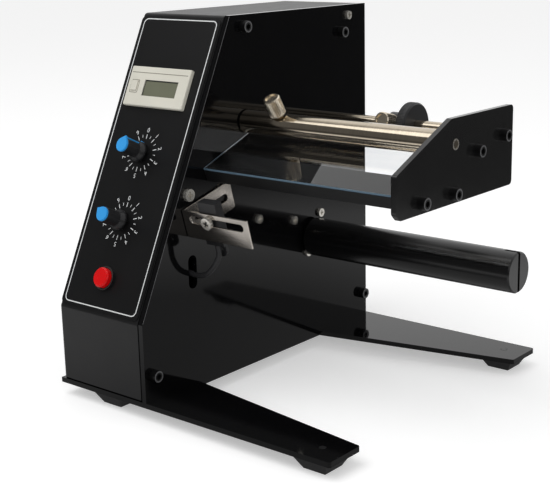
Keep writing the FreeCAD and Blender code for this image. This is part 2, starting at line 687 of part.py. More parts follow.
def flush_screw(name, thread, length):
    """A countersunk screw: its head's top lies at Z = 0."""
    return turned(name, [("0", "0"), (thread, "0"), (f"{thread} / 2", f"-{thread} / 2"),
                         (f"{thread} / 2", f"-({length})"), ("0", f"-({length})")])


# Base


FOOT_PLACES = [
    ("leg_reach - leg_foot_inset", "foot_inset"),
    ("leg_reach - leg_foot_inset", "body_depth - foot_inset"),
    ("-left_foot_across", "foot_inset"),
    ("-left_foot_across", "body_depth - foot_inset"),
]
UNDER_SCREW_PLACES = [
    ("-(plate_wall + bracket_base_in)", "bracket_base_end"),
    ("-(plate_wall + bracket_base_in)", "body_depth - bracket_base_end"),
    ("-(inner_left - flange_hole_in)", "flange_hole_end"),
    ("-(inner_left - flange_hole_in)", "body_depth - flange_hole_end"),
]


def make_base_plate():
    """One sheet: the floor of the housing, and two tapered legs to the right."""
    rear_root = "body_depth - rear_leg_root"
    outline = [("-base_left", "0"), ("leg_reach", "0"), ("leg_reach", "front_leg_tip"),
               ("0", "front_leg_root"), ("0", rear_root), ("leg_reach", "body_depth - rear_leg_tip"),
               ("leg_reach", "body_depth"), ("-base_left", "body_depth")]
    body = extruded("base_plate", "XY_Plane", outline, "plate_wall")
    reach = size("leg_reach")

    def at_leg_tip(edge):
        return runs_along(edge, AXIS_Z) and edge.CenterOfMass.x > reach - NEAR

    round_edges(body, "leg_corner", at_leg_tip)
    drill(body, "XY_Plane", [(x, y, "clear_large") for x, y in FOOT_PLACES])
    drill(body, "XY_Plane", [(x, y, "clear_small") for x, y in UNDER_SCREW_PLACES])
    for x, y in UNDER_SCREW_PLACES:
        drill(body, "XY_Plane", [(x, y, "small_thread + thread_gap")], depth="sink_depth",
              towards_normal=True)
    locate(body, "0", "0", "-plate_wall")
    publish("base_plate", body)


def make_feet():
    feet = []
    for number, (x, y) in enumerate(FOOT_PLACES):
        body = new_body(f"foot{number}")
        sketch = new_sketch(body, "XY_Plane")
        half = "foot_bottom / 2"
        draw_rectangle(sketch, f"-{half}", f"-{half}", half, half)
        add_pad(body, sketch, "foot_height", "atan((foot_top - foot_bottom) / 2 / foot_height)")
        drill(body, "XY_Plane", [("0", "0", "clear_large")])
        drill(body, "XY_Plane", [("0", "0", "foot_recess")], depth="foot_height / 2", towards_normal=True)
        locate(body, x, y, "-(plate_wall + foot_height)")
        feet.append(body)
    group("rubber_feet", feet)


def make_foot_screws():
    """Pan-head screws in the recesses of the feet; their ends show in the top of the legs."""
    screws = []
    for number, (x, y) in enumerate(FOOT_PLACES):
        piece = large_pan_screw(f"foot_screw{number}", "plate_wall + foot_height / 2 + thread_gap")
        locate(piece, x, y, "-(plate_wall + foot_height / 2)", DOWNWARD)
        screws.append(piece)
    group("foot_screws", screws)


def make_countersunk_screws():
    """Flush screws: from below into the brackets and the housing's flange, and in the inlet."""
    screws = []
    for number, (x, y) in enumerate(UNDER_SCREW_PLACES):
        piece = flush_screw(f"under_screw{number}", "small_thread", "plate_wall + sheet")
        screws.append(locate(piece, x, y, "-plate_wall", DOWNWARD))
    for number, (x, z) in enumerate(inlet_screw_places()):
        piece = flush_screw(f"inlet_screw{number}", "small_thread", "inlet_flange + sheet * 2")
        screws.append(locate(piece, x, "body_depth + inlet_flange", z, REARWARD))
    group("countersunk_screws", screws)


# Side plate and housing

POST_PLACES = [("front_post_y", "front_post_z"), ("rear_post_y", "rear_post_z")]
BRACKET_PLACES = [("bracket_hole_inset", "bracket_hole"),
                  ("body_depth - rear_hole_inset", "bracket_hole")]
COVER_SCREW_PLACE = ("body_depth - angle_hole_inset", "housing_height - angle_hole_drop")
COVER_LEFT_HEIGHTS = ["cover_hole_low", "housing_height - cover_hole_high"]
FLUSH_SCREW_PLACES = [(f"flush_{mark}_y", f"side_height - flush_{mark}_drop") for mark in "abc"]
ROD_PLACES = [("rear_rod_y", "rear_rod_z"), ("guide_rod_y", "guide_rod_z"),
              ("liner_rod_y", "liner_rod_z"), ("bar_y", "bar_z")]
BOARD_SCREW_PLACES = [("board_screw_a_y", "board_screw_a_z"), ("board_screw_b_y", "board_screw_b_z")]


def motor_screw_places():
    """Three screws on the gearbox's circle."""
    places = []
    for turn in (0, 120, 240):
        angle = f"((motor_screw_turn + {turn}) * 1 deg)"
        places.append((f"gear_y + motor_circle * cos{angle}", f"gear_z + motor_circle * sin{angle}"))
    return places


def holder_screw_place():
    y = "holder_y + holder_screw * cos(holder) + wing_slot_down * sin(holder)"
    z = "holder_z + holder_screw * sin(holder) - wing_slot_down * cos(holder)"
    return (y, z)


def make_side_plate():
    outline = [("0", "0"), ("body_depth", "0"), ("body_depth", "side_height"),
               ("side_top_front", "side_height"), ("0", "side_front_height")]
    body = extruded("main_side_plate", "YZ_Plane", outline, "plate_wall")
    large = POST_PLACES + BRACKET_PLACES + ROD_PLACES + [BOARD_SCREW_PLACES[0], holder_screw_place()]
    small = motor_screw_places() + FLUSH_SCREW_PLACES + [BOARD_SCREW_PLACES[1], COVER_SCREW_PLACE]
    holes = [(y, z, "clear_large") for y, z in large]
    holes += [(y, z, "clear_small") for y, z in small]
    holes.append(("press_y", "press_z", "press_shaft + thread_gap"))
    holes.append(("spindle_y", "spindle_z", "boss_radius + thread_gap"))
    drill(body, "YZ_Plane", holes)
    sketch = new_sketch(body, "YZ_Plane")
    draw_slot(sketch, "lead_slot_y", "lead_slot_low", "lead_slot_y", "lead_slot_high", "lead_slot_half")
    add_pocket(body, sketch)
    locate(body, "-plate_wall", "0", "0")
    publish("main_side_plate", body)


def make_housing_shell():
    """Folded sheet: left side, front, control panel and top, with inner flanges."""
    body = new_body("housing_shell")
    outer = new_sketch(body, "YZ_Plane", "-housing_left")
    draw_polygon(outer, [("0", "0"), ("body_depth", "0"), ("body_depth", "housing_height"),
                         ("panel_run", "housing_height"), ("0", "knee_height")])
    add_pad(body, outer, "housing_left - plate_wall - housing_seam")
    left = -size("housing_left")
    depth = size("body_depth")

    def folded(edge):
        centre = edge.CenterOfMass
        on_left = abs(centre.x - left) < NEAR and centre.z > NEAR and centre.y < depth - NEAR
        between = runs_along(edge, AXIS_X) and centre.z > NEAR and centre.y < depth - NEAR
        return on_left or between

    round_edges(body, "fold_radius", folded)
    inner = new_sketch(body, "YZ_Plane", "-inner_left")
    knee_inside = "knee_height - sheet * tan(slope / 2)"
    top_inside = "panel_run + sheet * (1 - sin(slope)) / cos(slope)"
    draw_polygon(inner, [("sheet", "-sheet"), ("body_depth + sheet", "-sheet"),
                         ("body_depth + sheet", "housing_height - sheet"),
                         (top_inside, "housing_height - sheet"), ("sheet", knee_inside)])
    add_pocket(body, inner, "housing_left", towards_normal=True)
    gap = new_sketch(body, "YZ_Plane")
    draw_rectangle(gap, "-sheet", "-sheet", "sheet", "front_gap")
    add_pocket(body, gap)
    lower_flange = new_sketch(body, "XY_Plane")
    draw_rectangle(lower_flange, "-(inner_left + sheet / 2)", "sheet * 2",
                   "-(inner_left - flange_width)", "body_depth - 2 * sheet")
    add_pad(body, lower_flange, "sheet")
    rear_flange = new_sketch(body, "XY_Plane")
    draw_rectangle(rear_flange, "-(inner_left + sheet / 2)", "body_depth - 2 * sheet",
                   "-(inner_left - flange_width)", "body_depth - sheet")
    add_pad(body, rear_flange, "housing_height - sheet / 2")
    drill(body, "YZ_Plane", [(y, z, "clear_large") for y, z in POST_PLACES], lift="-housing_left",
          depth="sheet * 2", towards_normal=True)
    drill(body, "XY_Plane", [(x, y, "clear_small") for x, y in UNDER_SCREW_PLACES[2:]],
          depth="sheet * 2", towards_normal=True)
    panel = new_sketch(body, "XY_Plane", "knee_height")
    lean = Rotation(TURN_X, size("90 deg - slope"))
    panel.AttachmentOffset = Placement(Vector(0, 0, size("knee_height")), lean)
    panel.setExpression("AttachmentOffset.Rotation.Angle", formula("90 deg - slope"))
    draw_circle(panel, "-dial_across", "length_dial_up", "bush_radius + thread_gap")
    draw_circle(panel, "-dial_across", "speed_dial_up", "bush_radius + thread_gap")
    draw_circle(panel, "-dial_across", "button_up", "switch_barrel + thread_gap")
    draw_rectangle(panel, "-(counter_across + case_width / 2 + thread_gap)",
                   "counter_up - case_tall / 2 - thread_gap",
                   "-(counter_across - case_width / 2 - thread_gap)",
                   "counter_up + case_tall / 2 + thread_gap")
    add_pocket(body, panel, "sheet * 3")
    holes = [("-(inner_left - cover_hole_in)", z, "clear_small") for z in COVER_LEFT_HEIGHTS]
    drill(body, "XZ_Plane", holes, lift="-(body_depth - sheet * 3)", depth="sheet * 3")
    locate(body, "0", "0", "0")
    publish("housing_shell", body)


def make_posts():
    """Round bars across the housing, threaded at both ends."""
    posts = []
    for number, (y, z) in enumerate(POST_PLACES):
        body = rod(f"post{number}", "post_radius", "post_length")
        drill(body, "XY_Plane", [("0", "0", "clear_large")])
        locate(body, "-inner_left", y, z, RIGHTWARD)
        posts.append(body)
    group("housing_posts", posts)


def make_angle_brackets():
    """Angles that stand on the base plate and hold the foot of the side plate."""
    brackets = []
    starts = ["sheet + bracket_gap", "body_depth - 2 * sheet - bracket_gap - bracket_side"]
    for number, (start, (y, z)) in enumerate(zip(starts, BRACKET_PLACES)):
        outline = [("0", "0"), ("-bracket_side", "0"), ("-bracket_side", "plate_wall"),
                   ("-plate_wall", "plate_wall"), ("-plate_wall", "bracket_side"), ("0", "bracket_side")]
        body = extruded(f"angle{number}", "XZ_Plane", outline, "bracket_side")
        across, under = UNDER_SCREW_PLACES[number]
        drill(body, "YZ_Plane", [(f"{y} - ({start}) - bracket_side", z, "clear_large")])
        drill(body, "XY_Plane",
              [(f"{across} + plate_wall", f"{under} - ({start}) - bracket_side", "clear_small")])
        locate(body, "-plate_wall", f"{start} + bracket_side", "0")
        brackets.append(body)
    group("angle_brackets", brackets)


def make_frame_screws():
    """Black socket screws through the side plate into the posts and the angle brackets."""
    screws = []
    for number, (y, z) in enumerate(POST_PLACES + BRACKET_PLACES):
        piece = socket_screw(f"frame_screw{number}", "plate_wall + screw_bite")
        if number >= len(POST_PLACES):
            piece = socket_screw(f"frame_screw{number}", "plate_wall * 2")
        screws.append(locate(piece, "0", y, z, RIGHTWARD))
    group("frame_screws", screws)


def make_left_screws():
    """Pan-head screws through the housing's left side into the posts."""
    screws = []
    for number, (y, z) in enumerate(POST_PLACES):
        piece = large_pan_screw(f"left_screw{number}", "sheet + screw_bite")
        screws.append(locate(piece, "-housing_left", y, z, LEFTWARD))
    group("left_side_screws", screws)


def make_rear_cover():
    """Flat sheet that closes the rear, with vents and the inlet's opening."""
    body = new_body("rear_cover")
    sketch = new_sketch(body, "XZ_Plane")
    draw_rectangle(sketch, "-(inner_left - thread_gap)", "thread_gap",
                   "-(plate_wall + thread_gap)", "housing_height - sheet - thread_gap")
    add_pad(body, sketch, "sheet")
    opening = new_sketch(body, "XZ_Plane")
    draw_rectangle(opening, "-(inlet_across + inlet_wide / 2 + thread_gap)",
                   "inlet_up - inlet_tall / 2 - thread_gap",
                   "-(inlet_across - inlet_wide / 2 - thread_gap)",
                   "inlet_up + inlet_tall / 2 + thread_gap")
    add_pocket(body, opening)
    vents = new_sketch(body, "XZ_Plane")
    for number in range(VENTS):
        height = f"vent_first + vent_pitch * {number}"
        draw_slot(vents, "-(inlet_across + vent_long / 2)", height,
                  "-(inlet_across - vent_long / 2)", height, "vent_half")
    add_pocket(body, vents)
    screws = [(x, z, "clear_small") for x, z in rear_screw_places() + inlet_screw_places()]
    drill(body, "XZ_Plane", screws)
    locate(body, "0", "body_depth", "0")
    publish("rear_cover", body)


def rear_screw_places():
    places = [("-(inner_left - cover_hole_in)", z) for z in COVER_LEFT_HEIGHTS]
    return places + [("-(plate_wall + angle_hole_in)", COVER_SCREW_PLACE[1])]


def inlet_screw_places():
    return [(f"-inlet_across {sign} inlet_hole_pitch / 2", "inlet_up") for sign in "-+"]


def make_cover_angle():
    """Small angle inside the side plate that takes the rear cover's right-hand screw."""
    end = "-(angle_hole_inset + sheet * 2)"
    outline = [("0", "0"), ("0", end), ("-sheet", end),
               ("-sheet", "-sheet"), ("-flange_width", "-sheet"), ("-flange_width", "0")]
    body = extruded("cover_angle", "XY_Plane", outline, "flange_width")
    place_y, place_z = COVER_SCREW_PLACE
    drill(body, "YZ_Plane", [(f"{place_y} - (body_depth - sheet)", "angle_hole_up", "clear_small")])
    drill(body, "XZ_Plane", [("-angle_hole_in", "angle_hole_up", "clear_small")])
    locate(body, "-plate_wall", "body_depth - sheet", f"{place_z} - angle_hole_up")
    publish("cover_angle", body)


def make_rear_screws():
    screws = []
    for number, (x, z) in enumerate(rear_screw_places()):
        piece = small_pan_screw(f"rear_screw{number}", "sheet * 2.5")
        screws.append(locate(piece, x, "body_depth", z, REARWARD))
    group("rear_cover_screws", screws)


def make_side_small_screws():
    """Cross-head screws in the side plate: the cover's angle, the board, and three flush ones."""
    angle_screw = small_pan_screw("angle_screw", "plate_wall + sheet")
    screws = [locate(angle_screw, "0", *COVER_SCREW_PLACE, RIGHTWARD)]
    for number, (y, z) in enumerate(FLUSH_SCREW_PLACES):
        piece = rod(f"flush_screw{number}", "small_thread / 2", "plate_wall")
        screws.append(locate(piece, "-plate_wall", y, z, RIGHTWARD))
    outer = "plate_wall + board_standoff / 2 - tip_gap"
    inner = "board_thick + board_standoff / 2 - tip_gap"
    for number, (kind, (y, z)) in enumerate(zip((large_pan_screw, small_pan_screw), BOARD_SCREW_PLACES)):
        front = kind(f"board_screw{number}", outer)
        rear = kind(f"board_inner_screw{number}", inner)
        screws.append(locate(front, "0", y, z, RIGHTWARD))
        screws.append(locate(rear, "-(board_x + board_thick)", y, z, LEFTWARD))
    group("side_small_screws", screws)


# Control panel


def make_overlay():
    """Printed film on the control panel, cut out for the counter, the dials and the switch."""
    body = extruded("control_overlay", "XY_Plane",
                    [("-film_left", "film_start"), ("-film_right", "film_start"),
                     ("-film_right", "film_end"), ("-film_left", "film_end")], "film")
    round_edges(body, "film_corner", lambda edge: runs_along(edge, AXIS_Z))
    holes = [("-dial_across", "length_dial_up", "bush_radius + thread_gap"),
             ("-dial_across", "speed_dial_up", "bush_radius + thread_gap"),
             ("-dial_across", "button_up", "switch_barrel + thread_gap")]
    drill(body, "XY_Plane", holes)
    opening = new_sketch(body, "XY_Plane")
    draw_rectangle(opening, "-(counter_across + case_width / 2 + thread_gap)",
                   "counter_up - case_tall / 2 - thread_gap",
                   "-(counter_across - case_width / 2 - thread_gap)",
                   "counter_up + case_tall / 2 + thread_gap")
    add_pocket(body, opening)
    locate_on_panel(body, "0", "0")
    publish("control_overlay", body)


def make_counter():
    """Snap-in counter: front, case, clamping frame, display, reset key and its board."""
    front = extruded("counter_front", "XY_Plane",
                     [("-counter_width / 2", "-counter_tall / 2"), ("counter_width / 2", "-counter_tall / 2"),
                      ("counter_width / 2", "counter_tall / 2"), ("-counter_width / 2", "counter_tall / 2")],
                     "counter_rise")
    rise = size("counter_rise")

    def outside(edge):
        return edge.CenterOfMass.z > rise - NEAR or runs_along(edge, AXIS_Z)

    round_edges(front, "edge_break", outside)
    openings = new_sketch(front, "XY_Plane")
    draw_rectangle(openings, "window_shift - window_width / 2", "-window_drop - window_tall / 2",
                   "window_shift + window_width / 2", "-window_drop + window_tall / 2")
    draw_rectangle(openings, "-(key_shift + key_width / 2 + slide_gap)", "-key_tall / 2 - slide_gap",
                   "key_width / 2 + slide_gap - key_shift", "key_tall / 2 + slide_gap")
    add_pocket(front, openings)
    publish("counter_front", locate_on_panel(front, "counter_across", "counter_up", "film"))

    case = extruded("counter_case", "XY_Plane",
                    [("-case_width / 2", "-case_tall / 2"), ("case_width / 2", "-case_tall / 2"),
                     ("case_width / 2", "case_tall / 2"), ("-case_width / 2", "case_tall / 2")],
                    "case_depth")
    hollow = new_sketch(case, "XY_Plane", "case_wall")
    draw_rectangle(hollow, "-case_width / 2 + case_wall", "-case_tall / 2 + case_wall",
                   "case_width / 2 - case_wall", "case_tall / 2 - case_wall")
    add_pocket(case, hollow, "case_depth", towards_normal=True)
    publish("counter_case", locate_on_panel(case, "counter_across", "counter_up", "film - case_depth"))

    frame = extruded("counter_clamp", "XY_Plane",
                     [("-case_width / 2 - clamp_wall", "-case_tall / 2 - clamp_wall"),
                      ("case_width / 2 + clamp_wall", "-case_tall / 2 - clamp_wall"),
                      ("case_width / 2 + clamp_wall", "case_tall / 2 + clamp_wall"),
                      ("-case_width / 2 - clamp_wall", "case_tall / 2 + clamp_wall")], "clamp_depth")
    passage = new_sketch(frame, "XY_Plane")
    draw_rectangle(passage, "-case_width / 2 - thread_gap", "-case_tall / 2 - thread_gap",
                   "case_width / 2 + thread_gap", "case_tall / 2 + thread_gap")
    add_pocket(frame, passage)
    publish("counter_clamp", locate_on_panel(frame, "counter_across", "counter_up", "-(sheet + clamp_depth)"))

    display_top = "film + counter_rise - window_sunk"
    display = block("counter_display", "window_width - 2 * thread_gap", "window_tall - 2 * thread_gap",
                    "display_thick")
    publish("counter_display", locate_on_panel(
        display, "window_x + window_width / 2 - thread_gap", "window_up - window_tall / 2 + thread_gap",
        f"{display_top} - display_thick"))

    key = block("counter_reset_key", "key_width", "key_tall", "key_rise + key_depth")
    publish("counter_reset_key", locate_on_panel(
        key, "key_x + key_width / 2", "counter_up - key_tall / 2", "film + counter_rise - key_depth"))


def make_dial(name, up):
    """Potentiometer behind the panel with its nut, shaft, knob and the knob's cap."""
    pot = turned(f"{name}_pot", [
        ("pot_shaft + slide_gap", "-sheet - pot_depth"), ("pot_radius", "-sheet - pot_depth"),
        ("pot_radius", "-sheet"), ("bush_radius", "-sheet"), ("bush_radius", "film + bush_rise"),
        ("pot_shaft + slide_gap", "film + bush_rise")])
    locate_on_panel(pot, "dial_across", up)

    nut = extruded_hexagon(f"{name}_pot_nut", "pot_nut", "pot_nut_thick", "bush_radius + thread_gap")
    locate_on_panel(nut, "dial_across", up, "film")

    low = "film + knob_lift"
    top = "film + knob_height"
    bore_top = f"{top} - cap_thick - knob_roof"
    knob = turned(f"{name}_knob", [
        ("pot_shaft", low), ("knob_foot", low), ("knob_foot", f"{low} + knob_skirt"),
        ("knob_neck + knob_step", f"{low} + knob_shoulder"), ("knob_neck", f"{top} - cap_thick"),
        ("0", f"{top} - cap_thick"), ("0", bore_top), ("pot_shaft", bore_top)])
    publish(f"{name}_knob", locate_on_panel(knob, "dial_across", up))

    cap = rod(f"{name}_knob_cap", "cap_radius", "cap_thick")
    publish(f"{name}_knob_cap", locate_on_panel(cap, "dial_across", up, f"{top} - cap_thick"))

    shaft = rod(f"{name}_pot_shaft", "pot_shaft", f"({bore_top}) + sheet + pot_depth")
    publish(f"{name}_pot_shaft", locate_on_panel(shaft, "dial_across", up, "-sheet - pot_depth"))
    return pot, nut


def make_dials():
    dials = [make_dial("length", "length_dial_up"), make_dial("speed", "speed_dial_up")]
    group("potentiometers", [pot for pot, nut in dials])
    return [nut for pot, nut in dials]


def extruded_hexagon(name, circumradius, height, bore):
    """A nut: hexagonal prism with a round hole."""
    prism = doc.addObject("Part::Prism", name + "_prism")
    prism.Polygon = 6
    bind(prism, Circumradius=circumradius, Height=height)
    return cut(name, prism, cylinder(name + "_bore", bore, height))


def make_power_switch():
    cavity = "button_radius + slide_gap"
    floor = "film + button_rise - button_long"
    well = f"{floor} - button_travel - button_room"
    case = turned("power_switch", [
        ("0", "film - switch_depth"), ("switch_barrel", "film - switch_depth"), ("switch_barrel", "film"),
        ("switch_rim", "film"), ("switch_rim", "film + switch_rim_rise"), (cavity, "film + switch_rim_rise"),
        (cavity, well), ("0", well)])
    publish("power_switch", locate_on_panel(case, "dial_across", "button_up"))
    top = "film + button_rise"
    button = turned("power_button", [
        ("0", floor), ("button_radius", floor), ("button_radius", f"{top} - edge_break"),
        ("button_radius - edge_break", top), ("0", top)])
    publish("power_button", locate_on_panel(button, "dial_across", "button_up"))
    nut = extruded_hexagon("power_switch_nut", "switch_barrel + nut_rim", "nut_thick",
                           "switch_barrel + thread_gap")
    return locate_on_panel(nut, "dial_across", "button_up", "-(sheet + nut_thick)")


# Peel plate, rods and end plate


def make_peel_plate():
    """Clear sheet that lies on the front bar's shelf and on the rear rod."""
    plate = block("peel_plate", "web_width - 2 * thread_gap", "peel_length", "peel_thick")
    locate_turned(plate, "thread_gap", "peel_front_y + peel_thick * sin(peel)",
                  "peel_front_z - peel_thick * cos(peel)", "peel")
    publish("peel_plate", plate)


def make_front_bar():
    """Bar with a thin shelf along its upper face."""
    under_shelf = "bar_tall / 2 - shelf_thick"
    shelf_end = "shelf_depth - bar_along"
    body = extruded("front_bar", "YZ_Plane",
                    [("-bar_width / 2", "-bar_tall / 2"), ("bar_width / 2", "-bar_tall / 2"),
                     ("bar_width / 2", under_shelf), (shelf_end, under_shelf),
                     (shelf_end, "bar_tall / 2"), ("-bar_width / 2", "bar_tall / 2")], "web_width")
    drill(body, "YZ_Plane", [("0", "0", "clear_large")])
    publish("front_bar", locate_turned(body, "0", "bar_y", "bar_z", "peel"))


def make_rod(name, y, z, radius):
    """Bar between the two plates, threaded at both ends."""
    body = rod(name, radius, "web_width")
    drill(body, "XY_Plane", [("0", "0", "clear_large")], depth="screw_bite + drill_spare",
          towards_normal=True)
    drill(body, "XY_Plane", [("0", "0", "clear_large")], lift="web_width",
          depth="screw_bite + drill_spare")
    publish(name, locate(body, "0", y, z, RIGHTWARD))


def make_end_plate():
    outline = [("end_front + end_nose_cut", "end_bottom"), ("end_rear", "end_bottom"),
               ("end_rear", "end_top"), ("end_top_front", "end_top"), ("end_front", "end_nose_top"),
               ("end_front", "end_bottom + end_nose_cut")]
    body = extruded("end_plate", "YZ_Plane", outline, "plate_wall")
    round_edges(body, "end_corner", lambda edge: runs_along(edge, AXIS_X))
    holes = [(y, z, "clear_large") for y, z in ROD_PLACES]
    holes.append(("press_y", "press_z", "press_shaft + thread_gap"))
    drill(body, "YZ_Plane", holes)
    publish("end_plate", locate(body, "web_width", "0", "0"))


def make_rod_screws():
    screws = []
    for number, (y, z) in enumerate(ROD_PLACES):
        outer = socket_screw(f"end_screw{number}", "plate_wall + screw_bite")
        screws.append(locate(outer, "end_outer", y, z, RIGHTWARD))
        root = socket_screw(f"root_screw{number}", "plate_wall + screw_bite")
        screws.append(locate(root, "-plate_wall", y, z, LEFTWARD))
    group("rod_screws", screws)


def make_press_tube():
    """Turning tube on a fixed shaft, with a bush in each end and a thumbscrew."""
    shaft = rod("press_shaft", "press_shaft", "end_outer + plate_wall")
    publish("press_shaft", locate(shaft, "-plate_wall", "press_y", "press_z", RIGHTWARD))
    length = "web_width - 2 * press_play"
    tube = sleeve("press_tube", "press_bore", "press_radius", "0", length)
    drill(tube, "YZ_Plane", [("0", "press_screw_x - press_play", "clear_large")], depth="press_radius * 2")
    turn = Rotation(TURN_X, PRESS_SCREW_TURN)
    publish("press_tube", locate(tube, "press_play", "press_y", "press_z", turn.multiply(RIGHTWARD)))
    bushes = []
    for number, start in enumerate(("press_play", "web_width - press_play - press_bush")):
        bush = sleeve(f"press_bush{number}", "press_shaft + slide_gap", "press_bore", "0", "press_bush")
        bushes.append(locate(bush, start, "press_y", "press_z", RIGHTWARD))
    group("press_bushes", bushes)
    screw = thumbscrew("press_thumbscrew", "press_radius", "press_shaft")
    publish("press_thumbscrew", locate(screw, "press_screw_x", "press_y", "press_z", turn))


def thumbscrew(name, seat, tip):
    """Knurled head beyond a seat radius, with a shank that ends short of the shaft it clamps."""
    low = f"{seat} + thumb_gap"
    high = f"{low} + thumb_tall"
    end = f"{tip} + tip_gap"
    return turned(name, [
        ("0", end), ("large_thread / 2", end), ("large_thread / 2", low), ("thumb_radius - edge_break", low),
        ("thumb_radius", f"{low} + edge_break"), ("thumb_radius", f"{high} - edge_break"),
        ("thumb_radius - edge_break", high), ("0", high)])


def make_guide():
    """Disc with a hub that slides on the guide rod, held by a thumbscrew."""
    bore = "guide_rod_radius + slide_gap"
    total = "disc_thick + hub_length"
    disc = turned("guide_disc", [
        (bore, "0"), ("hub_radius", "0"), ("hub_radius", "hub_length"),
        ("disc_radius - edge_break", "hub_length"), ("disc_radius", "hub_length + edge_break"),
        ("disc_radius", f"{total} - edge_break"), ("disc_radius - edge_break", total), (bore, total)])
    drill(disc, "YZ_Plane", [("0", "hub_length / 2", "clear_large")], depth="hub_radius * 2")
    turn = Rotation(TURN_X, GUIDE_SCREW_TURN)
    publish("guide_disc", locate(disc, f"disc_face - ({total})", "guide_rod_y", "guide_rod_z",
                                 turn.multiply(RIGHTWARD)))
    screw = thumbscrew("guide_thumbscrew", "hub_radius", "guide_rod_radius")
    publish("guide_thumbscrew", locate(screw, "disc_face - disc_thick - hub_length / 2",
                                       "guide_rod_y", "guide_rod_z", turn))


# Rewinding drive


def make_drive():
    gearbox = turned("gearbox", [
        ("0", "-gear_depth"), ("gear_radius", "-gear_depth"), ("gear_radius", "0"), ("0", "0")])
    circle = [(f"{y} - gear_y", f"{z} - gear_z") for y, z in motor_screw_places()]
    boss = new_sketch(gearbox, "XY_Plane")
    draw_circle(boss, "gear_offset_z", "gear_offset_y", "boss_radius")
    add_pad(gearbox, boss, "plate_wall")
    drill(gearbox, "XY_Plane", [(f"-({z})", y, "clear_small") for y, z in circle],
          depth="screw_bite", towards_normal=False)
    drill(gearbox, "XY_Plane", [("gear_offset_z", "gear_offset_y", "shaft_radius + slide_gap")],
          lift="plate_wall", depth="plate_wall + shaft_root + shaft_end_gap", towards_normal=False)
    publish("gearbox", locate(gearbox, "-plate_wall", "gear_y", "gear_z", RIGHTWARD))

    motor = rod("motor", "motor_radius", "motor_depth")
    publish("motor", locate(motor, "-(plate_wall + gear_depth + motor_depth)", "gear_y", "gear_z", RIGHTWARD))

    screws = []
    for number, (y, z) in enumerate(motor_screw_places()):
        piece = small_pan_screw(f"motor_screw{number}", "plate_wall + motor_screw_bite")
        screws.append(locate(piece, "0", y, z, RIGHTWARD))
    group("motor_screws", screws)

    shaft = rod("output_shaft", "shaft_radius", "shaft_root + plate_wall + shaft_reach")
    publish("output_shaft", locate(shaft, "-(plate_wall + shaft_root)", "spindle_y", "spindle_z", RIGHTWARD))

    length = "spindle_reach - spindle_play"
    spindle = turned("liner_spindle", [
        ("shaft_radius", "0"), ("spindle_radius", "0"),
        ("spindle_radius", f"{length} - edge_break"), ("spindle_radius - edge_break", length),
        ("0", length), ("0", "shaft_reach"), ("shaft_radius", "shaft_reach")])
    slit = new_sketch(spindle, "YZ_Plane")
    draw_rectangle(slit, "-spindle_slit / 2", f"{length} - slit_depth",
                   "spindle_slit / 2", f"{length} + cut_spare")
    add_pocket(spindle, slit)
    drill(spindle, "YZ_Plane", [("0", "set_screw_x - spindle_play", "clear_large")],
          depth="spindle_radius * 2", towards_normal=True)
    publish("liner_spindle", locate(spindle, "spindle_play", "spindle_y", "spindle_z", RIGHTWARD))
    set_screw = rod("spindle_set_screw", "large_thread / 2", "spindle_radius - shaft_radius - set_screw_sunk")
    publish("spindle_set_screw", locate(set_screw, "set_screw_x", "spindle_y", "spindle_z - shaft_radius",
                                        DOWNWARD))


# Label sensor


def make_sensor_holder():
    """Bent sheet: a wing on the side plate and a slotted flange that reaches over the web."""
    outline = [("0", "0"), ("holder_reach - holder_lift", "0"), ("holder_reach - holder_lift", "holder_wall"),
               ("holder_wall", "holder_wall"), ("holder_wall", "holder_length"), ("0", "holder_length")]
    body = extruded("sensor_holder", "XY_Plane", outline, "holder_tall", lift="-holder_tall")
    corner = new_sketch(body, "YZ_Plane")
    draw_polygon(corner, [("holder_length + cut_spare", "cut_spare"),
                          ("holder_length - holder_chamfer - cut_spare", "cut_spare"),
                          ("holder_length - holder_chamfer", "0"),
                          ("holder_length", "-holder_chamfer_drop"),
                          ("holder_length + cut_spare", "-holder_chamfer_drop")])
    add_pocket(body, corner)
    wing = new_sketch(body, "YZ_Plane")
    draw_slot(wing, "wing_slot_start", "-wing_slot_down", "wing_slot_end", "-wing_slot_down", "holder_slot")
    add_pocket(body, wing)
    front = new_sketch(body, "XZ_Plane")
    draw_slot(front, "holder_slot_start - holder_lift", "-holder_slot_down",
              "holder_slot_end - holder_lift", "-holder_slot_down", "holder_slot")
    add_pocket(body, front, "holder_wall * 2", towards_normal=False)
    publish("sensor_holder", locate_on_holder(body, "holder_lift", "0", "0"))


def make_holder_screw():
    y, z = holder_screw_place()
    piece = large_pan_screw("holder_screw", "plate_wall + holder_lift + holder_wall")
    publish("holder_screw", locate(piece, "holder_lift + holder_wall", y, z, RIGHTWARD))


def make_sensor():
    """Optical sensor behind the holder's flange, with a lower ear."""
    half = "sensor_width / 2"
    body = extruded("label_sensor", "XZ_Plane",
                    [(f"-{half}", "-sensor_below"), (half, "-sensor_below"),
                     (half, "sensor_above"), (f"-{half}", "sensor_above")],
                    "sensor_deep", lift="-sensor_deep")
    ear = new_sketch(body, "XZ_Plane", "-sensor_deep")
    draw_slot(ear, "0", "-(ear_below - ear_radius)", "0", "-sensor_below", "ear_radius")
    add_pad(body, ear, "ear_thick")
    drill(body, "XZ_Plane", [("0", "-ear_hole_below", "ear_hole"), ("0", "-holder_slot_down", "clear_large")])
    publish("label_sensor", locate_on_holder(body, "sensor_x", "holder_wall", "0"))
    piece = large_pan_screw("sensor_screw", "holder_wall + sensor_screw_bite")
    publish("sensor_screw", locate_on_holder(piece, "sensor_x", "0", "-holder_slot_down", "90 deg"))


